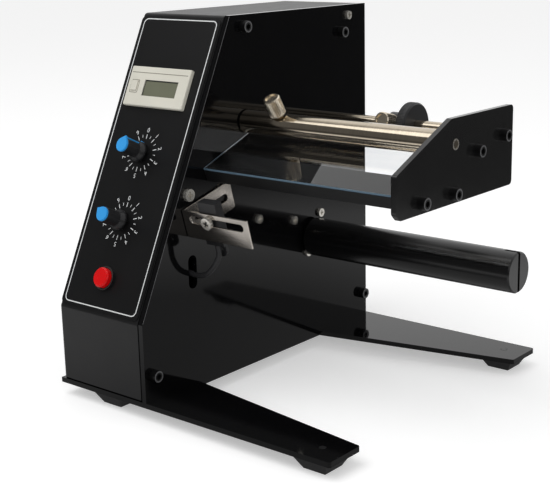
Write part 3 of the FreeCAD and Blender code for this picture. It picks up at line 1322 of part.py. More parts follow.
def rounded_path(points):
    """Straight runs joined by tangent arcs, each as large as its two runs allow."""
    edges = []
    start = points[0]
    for before, corner, after in zip(points, points[1:], points[2:]):
        into = (corner - before).normalize()
        out = (after - corner).normalize()
        turn = into.getAngle(out)
        shorter = min((corner - before).Length, (after - corner).Length)
        cut_back = RUN_SHARE * shorter
        radius = cut_back / math.tan(turn / 2)
        print(f"lead radius {radius:.1f} mm, turn {math.degrees(turn):.0f} degrees")
        arc_start = corner - into * cut_back
        arc_end = corner + out * cut_back
        inward = (out - into).normalize()
        centre = corner + inward * (radius / math.cos(turn / 2))
        middle = centre - inward * radius
        edges.append(Part.LineSegment(start, arc_start).toShape())
        edges.append(Part.Arc(arc_start, middle, arc_end).toShape())
        start = arc_end
    edges.append(Part.LineSegment(start, points[-1]).toShape())
    return Part.Wire(edges)


def make_sensor_lead():
    """Lead from inside the housing through the side plate's slot, up to the sensor's lower end."""
    tilt = math.radians(size("holder_tilt"))
    deep = size("holder_wall + lead_radius")
    below = size("sensor_below")
    end = Vector(size("sensor_x"),
                 size("holder_y") + deep * math.cos(tilt) + below * math.sin(tilt),
                 size("holder_z") + deep * math.sin(tilt) - below * math.cos(tilt))
    down = Vector(0, math.sin(tilt), -math.cos(tilt))
    points = [Vector(x, y, z) for x, y, z in LEAD_ROUTE] + [end + down * LEAD_LAST_RUN, end]
    path = rounded_path(points)
    start = points[0]
    direction = (points[1] - points[0]).normalize()
    ring = Part.Wire(Part.Circle(start, direction, size("lead_radius")).toShape())
    tube = path.makePipeShell([ring], True, True)
    expected = math.pi * size("lead_radius") ** 2 * path.Length
    print(f"lead volume {tube.Volume:.1f} of {expected:.1f} mm3, length {path.Length:.1f} mm")
    lead = doc.addObject("Part::Feature", "sensor_lead_shape")
    lead.Shape = tube
    lead.Placement = Placement(Vector(-size("origin_x"), -size("origin_y"), -size("origin_z")), Rotation())
    publish("sensor_lead", lead)


# Inside the housing


def make_control_board():
    board = extruded("control_board", "YZ_Plane",
                     [("board_front", "board_low"), ("board_rear", "board_low"),
                      ("board_rear", "board_high"), ("board_front", "board_high")], "board_thick")
    drill(board, "YZ_Plane", [(BOARD_SCREW_PLACES[0][0], BOARD_SCREW_PLACES[0][1], "clear_large"),
                              (BOARD_SCREW_PLACES[1][0], BOARD_SCREW_PLACES[1][1], "clear_small")])
    locate(board, "-(board_x + board_thick)", "0", "0")
    threads = ["clear_large", "clear_small"]
    standoffs = []
    for number, ((y, z), thread) in enumerate(zip(BOARD_SCREW_PLACES, threads)):
        piece = sleeve(f"standoff{number}", thread, "standoff_radius", "0", "board_standoff")
        standoffs.append(locate(piece, "-board_x", y, z, RIGHTWARD))
    group("board_standoffs", standoffs)
    soldered = [board]
    for name in BOARD_PARTS:
        part = block(f"board_{name}", f"{name}_deep", f"{name}_long", f"{name}_tall")
        place = (f"-(board_x + board_thick + {name}_deep)", f"board_front + {name}_along",
                 f"board_low + {name}_up")
        soldered.append(locate(part, *place))
    group("control_board", soldered)


def make_power_supply():
    supply = block("power_supply", "supply_wide", "supply_long", "supply_tall")
    publish("power_supply", locate(supply, "-(supply_right + supply_wide)", "supply_front", "0"))


def make_inlet():
    """Mains inlet in the rear cover, with a flange, a socket and three pins."""
    half_wide = "inlet_wide / 2"
    half_tall = "inlet_tall / 2"
    flange_wide = "inlet_flange_wide / 2"
    flange_tall = "inlet_flange_tall / 2"
    body = extruded("power_inlet", "XZ_Plane",
                    [(f"-{flange_wide}", f"-{flange_tall}"), (flange_wide, f"-{flange_tall}"),
                     (flange_wide, flange_tall), (f"-{flange_wide}", flange_tall)],
                    "inlet_flange", lift="-inlet_flange")
    round_edges(body, "inlet_corner", lambda edge: runs_along(edge, AXIS_Y))
    shroud = new_sketch(body, "XZ_Plane")
    draw_rectangle(shroud, f"-{half_wide}", f"-{half_tall}", half_wide, half_tall)
    add_pad(body, shroud, "inlet_deep")
    socket = new_sketch(body, "XZ_Plane", "-inlet_flange")
    draw_rectangle(socket, f"-{half_wide} + inlet_wall", f"-{half_tall} + inlet_wall",
                   f"{half_wide} - inlet_wall", f"{half_tall} - inlet_wall")
    add_pocket(body, socket, "inlet_flange + inlet_deep - inlet_wall", towards_normal=True)
    holes = [f"{sign}inlet_hole_pitch / 2" for sign in ("-", "")]
    drill(body, "XZ_Plane", [(x, "0", "clear_small") for x in holes])
    drill(body, "XZ_Plane", [(x, "0", "small_thread + thread_gap") for x in holes], lift="-inlet_flange",
          depth="sink_depth", towards_normal=True)
    publish("power_inlet", locate(body, "-inlet_across", "body_depth", "inlet_up"))
    pins = []
    places = [("-pin_pitch", "-pin_offset"), ("0", "pin_offset"), ("pin_pitch", "-pin_offset")]
    for number, (x, z) in enumerate(places):
        pin = block(f"inlet_pin{number}", "pin_wide", "pin_long", "pin_tall")
        pins.append(locate(pin, f"-inlet_across + ({x}) - pin_wide / 2",
                           "body_depth - inlet_deep + inlet_wall", f"inlet_up + ({z}) - pin_tall / 2"))
    group("inlet_pins", pins)


make_base_plate()
make_feet()
make_foot_screws()
make_countersunk_screws()
make_side_plate()
make_housing_shell()
make_posts()
make_angle_brackets()
make_frame_screws()
make_left_screws()
make_rear_cover()
make_cover_angle()
make_rear_screws()
make_side_small_screws()
make_overlay()
make_counter()
group("panel_nuts", make_dials() + [make_power_switch()])
make_peel_plate()
make_front_bar()
make_rod("rear_rod", "rear_rod_y", "rear_rod_z", "rear_rod_radius")
make_rod("guide_rod", "guide_rod_y", "guide_rod_z", "guide_rod_radius")
make_rod("liner_rod", "liner_rod_y", "liner_rod_z", "liner_rod_radius")
make_end_plate()
make_rod_screws()
make_press_tube()
make_guide()
make_drive()
make_sensor_holder()
make_holder_screw()
make_sensor()
make_sensor_lead()
make_control_board()
make_power_supply()
make_inlet()

doc.recompute()

for thing in doc.Objects:
    if "Invalid" in thing.State or "Error" in thing.State:
        raise RuntimeError(f"{thing.Label} failed: {thing.State}")
for node in NODES:
    if node.Shape.isNull() or not node.Shape.isValid():
        raise RuntimeError(f"{node.Label} has no valid shape")

os.makedirs("parts", exist_ok=True)
for node in NODES:
    node.Shape.exportStep(os.path.join("parts", node.Label + ".step"))
print(f"{len(NODES)} pieces written")
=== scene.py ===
"""Looks of the desk-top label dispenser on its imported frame.

Lengths are in metres in the row frame.  place() takes millimetres from the side plate's outer face,
the housing's front and the top of the base plate.
"""

import json
import math

import bpy
from mathutils import Matrix, Vector


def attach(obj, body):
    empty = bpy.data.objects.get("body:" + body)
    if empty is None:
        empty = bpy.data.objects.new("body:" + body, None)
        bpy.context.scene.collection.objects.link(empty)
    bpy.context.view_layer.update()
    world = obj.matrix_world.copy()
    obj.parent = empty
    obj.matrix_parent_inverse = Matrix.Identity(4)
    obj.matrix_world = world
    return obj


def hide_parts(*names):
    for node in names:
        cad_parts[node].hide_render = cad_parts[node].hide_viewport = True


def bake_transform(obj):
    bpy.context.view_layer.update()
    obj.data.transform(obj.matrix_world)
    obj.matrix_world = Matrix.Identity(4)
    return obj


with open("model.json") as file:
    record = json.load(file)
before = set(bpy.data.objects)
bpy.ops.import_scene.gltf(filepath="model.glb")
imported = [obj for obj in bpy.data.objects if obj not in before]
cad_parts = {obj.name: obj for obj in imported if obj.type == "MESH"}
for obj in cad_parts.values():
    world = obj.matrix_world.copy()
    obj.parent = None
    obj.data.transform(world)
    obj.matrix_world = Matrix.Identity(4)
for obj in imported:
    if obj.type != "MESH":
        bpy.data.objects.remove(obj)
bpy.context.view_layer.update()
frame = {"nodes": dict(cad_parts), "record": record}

MM = 0.001
ORIGIN = Vector((38.5, 106.0, -10.5))
PANEL_LEAN = math.radians(25.83)
KNEE = 45.2
FILM_TOP = 0.5
SIDE_TOP = 208.8
RIGHT = Vector((1, 0, 0))
BACK = Vector((0, 1, 0))
UP = Vector((0, 0, 1))


def place(x, y, z):
    return (Vector((x, y, z)) - ORIGIN) * MM


def srgb(red, green, blue):
    """A colour from 0 to 255 as the linear numbers that a shader takes."""
    channels = [value / 255 for value in (red, green, blue)]
    linear = [c / 12.92 if c <= 0.04045 else ((c + 0.055) / 1.055) ** 2.4 for c in channels]
    return (*linear, 1.0)


# Materials


def add_noise(tree, source, scale, detail):
    noise = tree.nodes.new("ShaderNodeTexNoise")
    noise.inputs["Scale"].default_value = scale
    noise.inputs["Detail"].default_value = detail
    tree.links.new(source, noise.inputs["Vector"])
    return noise.outputs["Fac"]


def material(name, colour, roughness, metallic=0.0, tint=0.08, cloud=45.0, stretch=(1, 1, 1),
             spread=0.05, grain=1800.0, bump=0.03, coat=0.0, specular=0.5, clear=0.0):
    """A finish whose colour, gloss and surface vary a little over the piece."""
    made = bpy.data.materials.new(name)
    made.use_nodes = True
    tree = made.node_tree
    shader = tree.nodes["Principled BSDF"]
    shader.inputs["Metallic"].default_value = metallic
    shader.inputs["Specular IOR Level"].default_value = specular
    shader.inputs["Coat Weight"].default_value = coat
    shader.inputs["Coat Roughness"].default_value = 0.04
    shader.inputs["Transmission Weight"].default_value = clear
    coordinates = tree.nodes.new("ShaderNodeTexCoord")
    mapping = tree.nodes.new("ShaderNodeMapping")
    mapping.inputs["Scale"].default_value = stretch
    tree.links.new(coordinates.outputs["Object"], mapping.inputs["Vector"])
    source = mapping.outputs["Vector"]
    patches = add_noise(tree, source, cloud, 3)
    ramp = tree.nodes.new("ShaderNodeValToRGB")
    for element, position, share in zip(ramp.color_ramp.elements, (0.35, 0.65), (1 - tint, 1 + tint)):
        element.position = position
        element.color = (*(channel * share for channel in colour[:3]), 1.0)
    tree.links.new(patches, ramp.inputs["Fac"])
    tree.links.new(ramp.outputs["Color"], shader.inputs["Base Color"])
    gloss = tree.nodes.new("ShaderNodeMapRange")
    gloss.inputs["To Min"].default_value = max(roughness - spread, 0.0)
    gloss.inputs["To Max"].default_value = roughness + spread
    tree.links.new(add_noise(tree, source, cloud * 4, 4), gloss.inputs["Value"])
    tree.links.new(gloss.outputs["Result"], shader.inputs["Roughness"])
    relief = tree.nodes.new("ShaderNodeBump")
    relief.inputs["Strength"].default_value = bump
    relief.inputs["Distance"].default_value = 0.0002
    tree.links.new(add_noise(tree, source, grain, 2), relief.inputs["Height"])
    tree.links.new(relief.outputs["Normal"], shader.inputs["Normal"])
    return made


LOOKS = {
    "gloss_black": material("gloss_black", srgb(9, 9, 10), 0.07, bump=0.015, spread=0.03, grain=700,
                            specular=0.24),
    "satin_black": material("satin_black", srgb(22, 22, 23), 0.42, bump=0.10, grain=2600,
                            specular=0.36),
    "end_black": material("end_black", srgb(23, 23, 23), 0.16, bump=0.02, grain=700),
    "turned_black": material("turned_black", srgb(11, 11, 12), 0.24, bump=0.01, spread=0.02, grain=500),
    "rubber": material("rubber", srgb(30, 30, 31), 0.75, bump=0.25, grain=2200),
    "black_screw": material("black_screw", srgb(14, 14, 15), 0.34, metallic=0.3, bump=0.05),
    # Painted highlight: a light grey for edges and screw rims that catch the light.
    "painted_edge_highlight": material("painted_edge_highlight", srgb(92, 92, 94), 0.35, tint=0.15, cloud=400),
    # Painted shade: a dull near-black for the inside of holes.
    "painted_hole_shade": material("painted_hole_shade", srgb(5, 5, 5), 0.9, specular=0.0),
    "zinc": material("zinc", srgb(224, 220, 212), 0.2, metallic=0.85, bump=0.04),
    # Painted highlight: a lighter grey for the power switch bezel's lit rim.
    "bezel_highlight": material("bezel_highlight", srgb(58, 58, 56), 0.3, tint=0.1),
    "chrome": material("chrome", srgb(198, 186, 167), 0.12, metallic=1.0, stretch=(60, 1, 1),
                       cloud=12, tint=0.05, spread=0.03, grain=60, bump=0.03),
    "stainless": material("stainless", srgb(205, 198, 190), 0.16, metallic=1.0, stretch=(1, 8, 8),
                          cloud=30, spread=0.05, grain=400, bump=0.04),
    "clear_sheet": material("clear_sheet", srgb(250, 252, 254), 0.008, tint=0.004, spread=0.006,
                            grain=200, bump=0.001, clear=1.0),
    # Painted highlight: light steel blue for the light gathered in the clear sheet's edges.
    "sheet_edge_highlight": material("sheet_edge_highlight", srgb(98, 122, 140), 0.3, tint=0.06),
    "panel_film": material("panel_film", srgb(19, 19, 20), 0.38, bump=0.12, grain=3200, tint=0.05,
                           specular=0.3),
    "beige_plastic": material("beige_plastic", srgb(218, 215, 202), 0.42, tint=0.03, bump=0.06),
    "black_plastic": material("black_plastic", srgb(24, 24, 26), 0.36, bump=0.08, grain=2600),
    "display_grey": material("display_grey", srgb(111, 113, 95), 0.12, tint=0.04, bump=0.01,
                             coat=0.5),
    "blue_plastic": material("blue_plastic", srgb(52, 162, 236), 0.30, tint=0.04, bump=0.04),
    "red_plastic": material("red_plastic", srgb(218, 6, 10), 0.26, tint=0.05, bump=0.03, specular=0.25),
    "board_green": material("board_green", srgb(28, 92, 52), 0.40, cloud=220, tint=0.2),
    "brass": material("brass", srgb(214, 178, 108), 0.28, metallic=1.0),
    "grey_metal": material("grey_metal", srgb(150, 152, 152), 0.34, metallic=0.9),
    "white_print": material("white_print", srgb(226, 228, 228), 0.45, tint=0.04, cloud=400),
    "dark_line": material("dark_line", srgb(120, 115, 102), 0.6, tint=0.08),
    "thumb_metal": material("thumb_metal", srgb(232, 220, 200), 0.20, metallic=1.0, spread=0.06,
                            bump=0.08),
    "lead_jacket": material("lead_jacket", srgb(34, 34, 36), 0.5, bump=0.12, grain=900),
}

SLOTS = {part["node"]: part["material_slot"] for part in frame["record"]["subparts"]}
OWN_LOOKS = {"end_plate": "end_black", "liner_spindle": "turned_black", "panel_nuts": "black_screw"}
for node_name, node_object in frame["nodes"].items():
    node_object.data.materials.clear()
    node_object.data.materials.append(LOOKS[OWN_LOOKS.get(node_name, SLOTS[node_name])])


WELD_REACH = 2e-6
SHARP_EDGE = math.radians(32)
FLAT_PIECES = {"end_plate": 0.35, "base_plate": 0.35, "peel_plate": 0.15, "front_bar": 0.4}
ROUNDED_PIECES = {"counter_front": 0.5, "sensor_holder": 0.2, "power_button": 0.5}


def soften(node, width, flat):
    """Round the CAD piece's sharp edges a little, so that they catch the light."""
    piece = frame["nodes"][node]
    weld = piece.modifiers.new("weld", "WELD")
    weld.merge_threshold = WELD_REACH
    bevel = piece.modifiers.new("edges", "BEVEL")
    bevel.width = width * MM
    bevel.segments = 2
    bevel.limit_method = "ANGLE"
    bevel.angle_limit = SHARP_EDGE
    bevel.miter_outer = "MITER_ARC"
    if not flat:
        normals = piece.modifiers.new("normals", "WEIGHTED_NORMAL")
        normals.keep_sharp = True
    for polygon in piece.data.polygons:
        polygon.use_smooth = not flat


for node, width in FLAT_PIECES.items():
    soften(node, width, True)
for node, width in ROUNDED_PIECES.items():
    soften(node, width, False)


# Meshes

SMOOTH_BELOW = math.radians(35)
CORNER_STEPS = 8


def add_piece(name, points, faces, look, body, smooth=True):
    """A piece of the scene that rides on a body."""
    mesh = bpy.data.meshes.new(name)
    mesh.from_pydata([tuple(point) for point in points], [], faces)
    mesh.validate()
    mesh.materials.append(LOOKS[look])
    for polygon in mesh.polygons:
        polygon.use_smooth = smooth
    if smooth:
        mesh.set_sharp_from_angle(angle=SMOOTH_BELOW)
    piece = bpy.data.objects.new(name, mesh)
    bpy.context.collection.objects.link(piece)
    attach(piece, body)
    return piece


def turned_mesh(profile, matrix, segments, flutes):
    """Points and faces of a turned shape: rows of radius, height and flute depth, in millimetres."""
    points = []
    faces = []
    rings = []
    for row in profile:
        radius, height = row[:2]
        depth = row[2] if len(row) > 2 else 0.0
        ring = []
        count = segments if radius > 0 else 1
        for index in range(count):
            turn = 2 * math.pi * index / segments
            reach = radius - depth * (0.5 - 0.5 * math.cos(flutes * turn))
            point = Vector((reach * math.cos(turn), reach * math.sin(turn), height)) * MM
            ring.append(len(points))
            points.append(matrix @ point)
        rings.append(ring)
    for lower, upper in zip(rings, rings[1:]):
        for index in range(segments):
            following = (index + 1) % segments
            if len(lower) == 1:
                faces.append((lower[0], upper[following], upper[index]))
            elif len(upper) == 1:
                faces.append((lower[index], lower[following], upper[0]))
            else:
                faces.append((lower[index], lower[following], upper[following], upper[index]))
    return points, faces


def prism_mesh(outline, low, high, matrix):
    """Points and faces of a flat outline in millimetres between two heights."""
    count = len(outline)
    points = [matrix @ (Vector((x, y, height)) * MM) for height in (low, high) for x, y in outline]
    faces = [tuple(reversed(range(count))), tuple(range(count, 2 * count))]
    for index in range(count):
        following = (index + 1) % count
        faces.append((index, following, count + following, count + index))
    return points, faces


def joined(shapes):
    """Several sets of points and faces as one."""
    points = []
    faces = []
    for more_points, more_faces in shapes:
        start = len(points)
        points += more_points
        faces += [tuple(start + corner for corner in face) for face in more_faces]
    return points, faces


def frame_at(origin, right, up, out):
    """A matrix whose X, Y and Z run right, up and out at a point."""
    rotation = Matrix((right, up, out)).transposed().to_4x4()
    return Matrix.Translation(origin) @ rotation


def facing_right(x, y, z):
    """The frame at a point of a face that looks to the right: X to the rear, Y up, Z out of it."""
    return frame_at(place(x, y, z), BACK, UP, RIGHT)


LEAN_SIN = math.sin(PANEL_LEAN)
LEAN_COS = math.cos(PANEL_LEAN)
PANEL_UP = Vector((0, LEAN_SIN, LEAN_COS))
PANEL_OUT = Vector((0, -LEAN_COS, LEAN_SIN))


def on_panel(across, up, rise=0.0):
    """The panel's frame at a point: X to the right, Y up the panel, Z out of it."""
    origin = place(-across, up * LEAN_SIN, KNEE + up * LEAN_COS) + PANEL_OUT * rise * MM
    return frame_at(origin, RIGHT, PANEL_UP, PANEL_OUT)


# Knobs: a fluted body, a drop-shaped blue cap and a blue line down the side.

KNOB_FLUTES = 20
DROP_STEPS = 40
CAP_FOOT, CAP_EDGE, CAP_TOP = 16.3, 17.25, 17.5


def turn_clockwise(point, angle):
    x, y = point
    return (x * math.cos(angle) + y * math.sin(angle), y * math.cos(angle) - x * math.sin(angle))


def bar_outline(half, low, high, turn):
    """A bar of half a width between two distances from the middle, turned clockwise."""
    corners = [(half, low), (half, high), (-half, high), (-half, low)]
    return [turn_clockwise(corner, turn) for corner in corners]


def drop_outline(radius, tip, pointer):
    """A circle drawn out to a tip, pointing clockwise from up."""
    half = math.acos(radius / tip)
    outline = []
    for index in range(DROP_STEPS + 1):
        turn = pointer + half + (2 * math.pi - 2 * half) * index / DROP_STEPS
        outline.append((radius * math.sin(turn), radius * math.cos(turn)))
    outline.append((tip * math.sin(pointer), tip * math.cos(pointer)))
    outline.reverse()
    return outline


def add_knob(dial, across, up, pointer):
    """A knob on its dial, with its pointer so many degrees clockwise from up."""
    body = f"{dial}_dial"
    matrix = on_panel(across, up)
    profile = [(0, 14.4), (3.08, 14.4), (3.08, 2.9), (5.7, 2.9), (6.0, 3.2), (6.0, 4.2),
               (5.8, 4.6), (5.1, 5.9), (4.6, 6.5), (4.5, 6.9, 0.1), (4.5, 15.6, 0.1),
               (4.3, 16.1), (4.0, 16.3), (0, 16.3)]
    points, faces = turned_mesh(profile, matrix, 160, KNOB_FLUTES)
    knob = add_piece(f"{dial}_knob_body", points, faces, "black_plastic", body)
    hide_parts(f"{dial}_knob")
    angle = math.radians(pointer)
    lower = prism_mesh(drop_outline(4.15, 5.6, angle), CAP_FOOT, CAP_EDGE, matrix)
    upper = prism_mesh(drop_outline(3.85, 5.2, angle), CAP_EDGE, CAP_TOP, matrix)
    line = [(0.8, 4.25), (-0.8, 4.25), (-0.8, 4.95), (0.8, 4.95)]
    skirt = [(0.75, 4.25), (-0.75, 4.25), (-0.75, 6.12), (0.75, 6.12)]
    turned_line = [turn_clockwise(point, angle) for point in line]
    turned_skirt = [turn_clockwise(point, angle) for point in skirt]
    strips = [prism_mesh(list(reversed(turned_line)), 6.3, 16.4, matrix),
              prism_mesh(list(reversed(turned_skirt)), 3.1, 4.5, matrix)]
    points, faces = joined([lower, upper, *strips])
    cap = add_piece(f"{dial}_knob_pointer", points, faces, "blue_plastic", body)
    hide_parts(f"{dial}_knob_cap")


LENGTH_DIAL = (37.4, 96.4)
SPEED_DIAL = (37.4, 55.4)
add_knob("length", *LENGTH_DIAL, 15)
add_knob("speed", *SPEED_DIAL, -58)

# Print on the panel: a border line and two numbered scales.

PRINT_LOW = FILM_TOP - 0.01
PRINT_HIGH = FILM_TOP + 0.04


def round_rectangle(left, low, right, high, radius):
    outline = []
    centres = [(right - radius, high - radius, 0), (left + radius, high - radius, 1),
               (left + radius, low + radius, 2), (right - radius, low + radius, 3)]
    for x, y, quarter in centres:
        for index in range(CORNER_STEPS + 1):
            turn = (quarter + index / CORNER_STEPS) * math.pi / 2
            outline.append((x + radius * math.cos(turn), y + radius * math.sin(turn)))
    return outline


def ring_mesh(outer, inner, low, high, matrix):
    """A closed band between two outlines of as many points."""
    count = len(outer)
    points = []
    for outline, height in ((outer, low), (outer, high), (inner, high), (inner, low)):
        points += [matrix @ (Vector((x, y, height)) * MM) for x, y in outline]
    faces = []
    for loop in range(4):
        following_loop = (loop + 1) % 4
        for index in range(count):
            following = (index + 1) % count
            faces.append((loop * count + index, loop * count + following,
                          following_loop * count + following, following_loop * count + index))
    return points, faces


def add_border():
    matrix = on_panel(0, 0)
    outer = round_rectangle(-66.0, 3.8, -6.9, 178.0, 3.4)
    inner = round_rectangle(-65.4, 4.4, -7.5, 177.4, 2.8)
    points, faces = ring_mesh(outer, inner, PRINT_LOW, PRINT_HIGH, matrix)
    add_piece("panel_border", points, faces, "white_print", "machine", smooth=False)


def digit_mesh(digit, height, matrix):
    """A printed digit, centred on the matrix, as points and faces."""
    curve = bpy.data.curves.new("digit", "FONT")
    curve.body = digit
    curve.size = 10.0
    letter = bpy.data.objects.new("digit", curve)
    bpy.context.collection.objects.link(letter)
    bpy.context.view_layer.update()
    mesh = bpy.data.meshes.new_from_object(letter.evaluated_get(bpy.context.evaluated_depsgraph_get()))
    corners = [vertex.co.copy() for vertex in mesh.vertices]
    low = Vector((min(p.x for p in corners), min(p.y for p in corners), 0))
    high = Vector((max(p.x for p in corners), max(p.y for p in corners), 0))
    share = height / (high.y - low.y)
    middle = (low + high) / 2
    points = []
    for corner in corners:
        flat = (corner - middle) * share
        points.append(matrix @ (Vector((flat.x, flat.y, PRINT_HIGH)) * MM))
    faces = [tuple(polygon.vertices) for polygon in mesh.polygons]
    bpy.data.objects.remove(letter)
    bpy.data.curves.remove(curve)
    bpy.data.meshes.remove(mesh)
    return points, faces


SCALE_TURN = math.radians(2)
DIGIT_RADIUS = 13.8
DIGIT_HEIGHT = 2.6
TICKS = ((0.22, 8.5, 11.2), (0.16, 9.3, 11.0))


def add_scale(dial, across, up):
    """Ten digits round a dial, with a long tick at each and a short one between."""
    matrix = on_panel(across, up)
    shapes = []
    for number in range(10):
        turn = SCALE_TURN + math.radians(36 * number)
        direction = Matrix.Rotation(-turn, 4, "Z")
        spot = Matrix.Translation(Vector((0, DIGIT_RADIUS * MM, 0)))
        shapes.append(digit_mesh(str(number), DIGIT_HEIGHT, matrix @ direction @ spot))
        for step, (half, low, high) in enumerate(TICKS):
            outline = bar_outline(half, low, high, turn + math.radians(18 * step))
            shapes.append(prism_mesh(outline, PRINT_LOW, PRINT_HIGH, matrix))
    points, faces = joined(shapes)
    add_piece(f"{dial}_scale", points, faces, "white_print", "machine", smooth=False)


add_border()
add_scale("length", *LENGTH_DIAL)
add_scale("speed", *SPEED_DIAL)

# Counter: the seam of its front, the edge round the reset key and painted shade along the window's top and
# left inner edges.


def add_counter_lines():
    matrix = on_panel(38.0, 135.4)
    top = FILM_TOP + 2.6
    seam = prism_mesh([(-22.6, 7.9), (22.6, 7.9), (22.6, 8.3), (-22.6, 8.3)], top - 0.01, top + 0.03,
                      matrix)
    outer = round_rectangle(-21.2, -4.4, -14.6, 3.6, 0.8)
    inner = round_rectangle(-20.9, -4.1, -14.9, 3.3, 0.6)
    outline = ring_mesh(outer, inner, top - 0.01, top + 0.03, matrix)
    points, faces = joined([seam, outline])
    add_piece("counter_lines", points, faces, "dark_line", "machine", smooth=False)
    # Painted shade: a dark strip along the top and left inside the window, where its walls shade the
    # display.
    display = FILM_TOP + 2.0
    shade = [(16.5, 4.85), (16.5, 4.2), (-9.9, 4.2), (-9.9, -4.85), (-10.5, -4.85), (-10.5, 4.85)]
    points, faces = prism_mesh(list(reversed([(x, y - 0.9) for x, y in shade])),
                               display - 0.01, display + 0.03, matrix)
    add_piece("counter_window_shade", points, faces, "black_plastic", "machine", smooth=False)


add_counter_lines()

# Straight knurls of the thumbscrews and the guide disc.

THUMB_FLUTES = 30
DISC_FLUTES = 90


def add_thumbscrew(name, body, axis_x, axis_y, axis_z, turn, head, tip):
    """A knurled head and its shank, standing out from a shaft's axis by head and tip."""
    angle = math.radians(turn)
    out = Vector((0, -math.sin(angle), math.cos(angle)))
    matrix = frame_at(place(axis_x, axis_y, axis_z), RIGHT, out.cross(RIGHT), out)
    top = head + 11.5
    profile = [(0, tip), (1.7, tip), (1.95, tip + 0.3), (1.95, head), (4.2, head), (4.8, head + 0.6, 0.1),
               (4.8, head + 1.0, 0.42), (4.8, top - 1.0, 0.42), (4.8, top - 0.6, 0.1), (4.2, top),
               (3.5, top), (3.3, top - 0.9), (0, top - 1.0)]
    points, faces = turned_mesh(profile, matrix, 240, THUMB_FLUTES)
    screw = add_piece(f"{name}_head", points, faces, "thumb_metal", body)
    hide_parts(name)


add_thumbscrew("press_thumbscrew", "press_screw", 28.0, 90.4, 147.315, 30, 7.8, 3.2)
add_thumbscrew("guide_thumbscrew", "guide_screw", 76.0, 138.4, 145.5, 75, 8.0, 3.7)


def add_disc_rim():
    """Knurled band round the guide disc."""
    profile = [(12.9, 0.7), (13.2, 0.7), (13.42, 1.0, 0.3), (13.42, 5.5, 0.3), (13.2, 5.8),
               (12.9, 5.8), (12.9, 0.7)]
    points, faces = turned_mesh(profile, facing_right(81.1, 138.4, 145.5), 360, DISC_FLUTES)
    add_piece("guide_disc_rim", points, faces, "black_plastic", "guide")


add_disc_rim()

# Small marks: painted shade in cross recesses, painted highlights on the rims of black screws, painted
# screws, a painted highlight along the side plate's edge and painted highlights in the clear sheet's edges.

CROSS_ARM = 1.75
CROSS_HALF = 0.42
CROSS_TURN = math.radians(28)


def add_cross(name, body, matrix):
    """Painted shade: a dark cross where a screw's recess is shaded."""
    shapes = []
    for turn in (CROSS_TURN, CROSS_TURN + math.pi / 2):
        outline = bar_outline(CROSS_HALF, -CROSS_ARM, CROSS_ARM, turn)
        shapes.append(prism_mesh(outline, -0.02, 0.03, matrix))
    points, faces = joined(shapes)
    add_piece(name, points, faces, "black_screw", body, smooth=False)


def circle(radius):
    return round_rectangle(-radius, -radius, radius, radius, radius)


BLACK_SCREWS = [(147.5, 58.35, 122.27), (147.5, 88.0, 121.7), (147.5, 111.2, 140.95), (147.5, 138.4, 145.5),
                (4.0, 90.5, 202.0), (4.0, 183.0, 192.2), (4.0, 7.01, 14.85), (4.0, 203.49, 14.85)]


def add_screw_rims():
    # Painted highlight: light rings on the black screws' rims, where they catch the light.
    rims = [ring_mesh(circle(3.2), circle(2.5), -0.02, 0.02, facing_right(*spot)) for spot in BLACK_SCREWS]
    points, faces = joined(rims)
    add_piece("black_screw_rim_highlights", points, faces, "painted_edge_highlight", "machine", smooth=False)


def add_painted_screws():
    """Paint over three flush screws, painted shade in the mouths of the legs' holes and the shaft's bare
    end.
    """
    paint = [prism_mesh(circle(3.05), -0.01, 0.04, facing_right(0, y, SIDE_TOP - drop))
             for y, drop in ((128.8, 10.4), (166.8, 17.4), (165.3, 37.1))]
    points, faces = joined(paint)
    add_piece("painted_screws", points, faces, "gloss_black", "machine", smooth=False)
    # Painted shade: dark discs in the mouths of the legs' holes.
    mouths = [prism_mesh(circle(2.1), -0.01, 0.04, frame_at(place(115.1, y, 0), RIGHT, BACK, UP))
              for y in (12.5, 196.5)]
    points, faces = joined(mouths)
    add_piece("leg_hole_shades", points, faces, "painted_hole_shade", "machine", smooth=False)
    points, faces = ring_mesh(circle(2.95), circle(2.2), -0.02, 0.04, facing_right(143.5, 90.4, 147.315))
    add_piece("press_shaft_end", points, faces, "zinc", "machine", smooth=False)


def add_side_plate_edge():
    """Painted highlight along the line where the side plate's leaning edge meets its outer face."""
    line = [(0.35, 46.4), (78.7, 208.3), (79.1, 208.3), (0.75, 46.4)]
    points, faces = prism_mesh(line, -0.02, 0.03, facing_right(0, 0, 0))
    add_piece("side_plate_edge_highlight", points, faces, "painted_edge_highlight", "machine", smooth=False)


def add_sheet_edges():
    """Painted highlight on the front edge's whole face and on a narrow band along the edge beside the side
    plate.
    """
    tilt = math.radians(21)
    back = Vector((0, math.cos(tilt), math.sin(tilt)))
    above = Vector((0, -math.sin(tilt), math.cos(tilt)))
    matrix = frame_at(place(0.05, 53.4, 125.4), RIGHT, back, above)
    front = prism_mesh([(0, -0.03), (140.4, -0.03), (140.4, 0.02), (0, 0.02)], -1.2, 0.02, matrix)
    side = prism_mesh([(0, 0.02), (0.35, 0.02), (0.35, 60), (0, 60)], -0.02, 0.02, matrix)
    points, faces = joined([front, side])
    add_piece("peel_plate_edge_highlights", points, faces, "sheet_edge_highlight", "machine", smooth=False)


HOLDER_LEAN = math.radians(15)
HOLDER_OUT = Vector((0, -math.cos(HOLDER_LEAN), -math.sin(HOLDER_LEAN)))
add_cross("holder_screw_cross_shade", "machine", facing_right(3.9, 51.48, 100.92))
add_cross("sensor_screw_cross_shade", "sensor",
          frame_at(place(19.5, 32.97, 99.28), RIGHT, HOLDER_OUT.cross(RIGHT), HOLDER_OUT))
add_screw_rims()
add_painted_screws()
add_side_plate_edge()
add_sheet_edges()

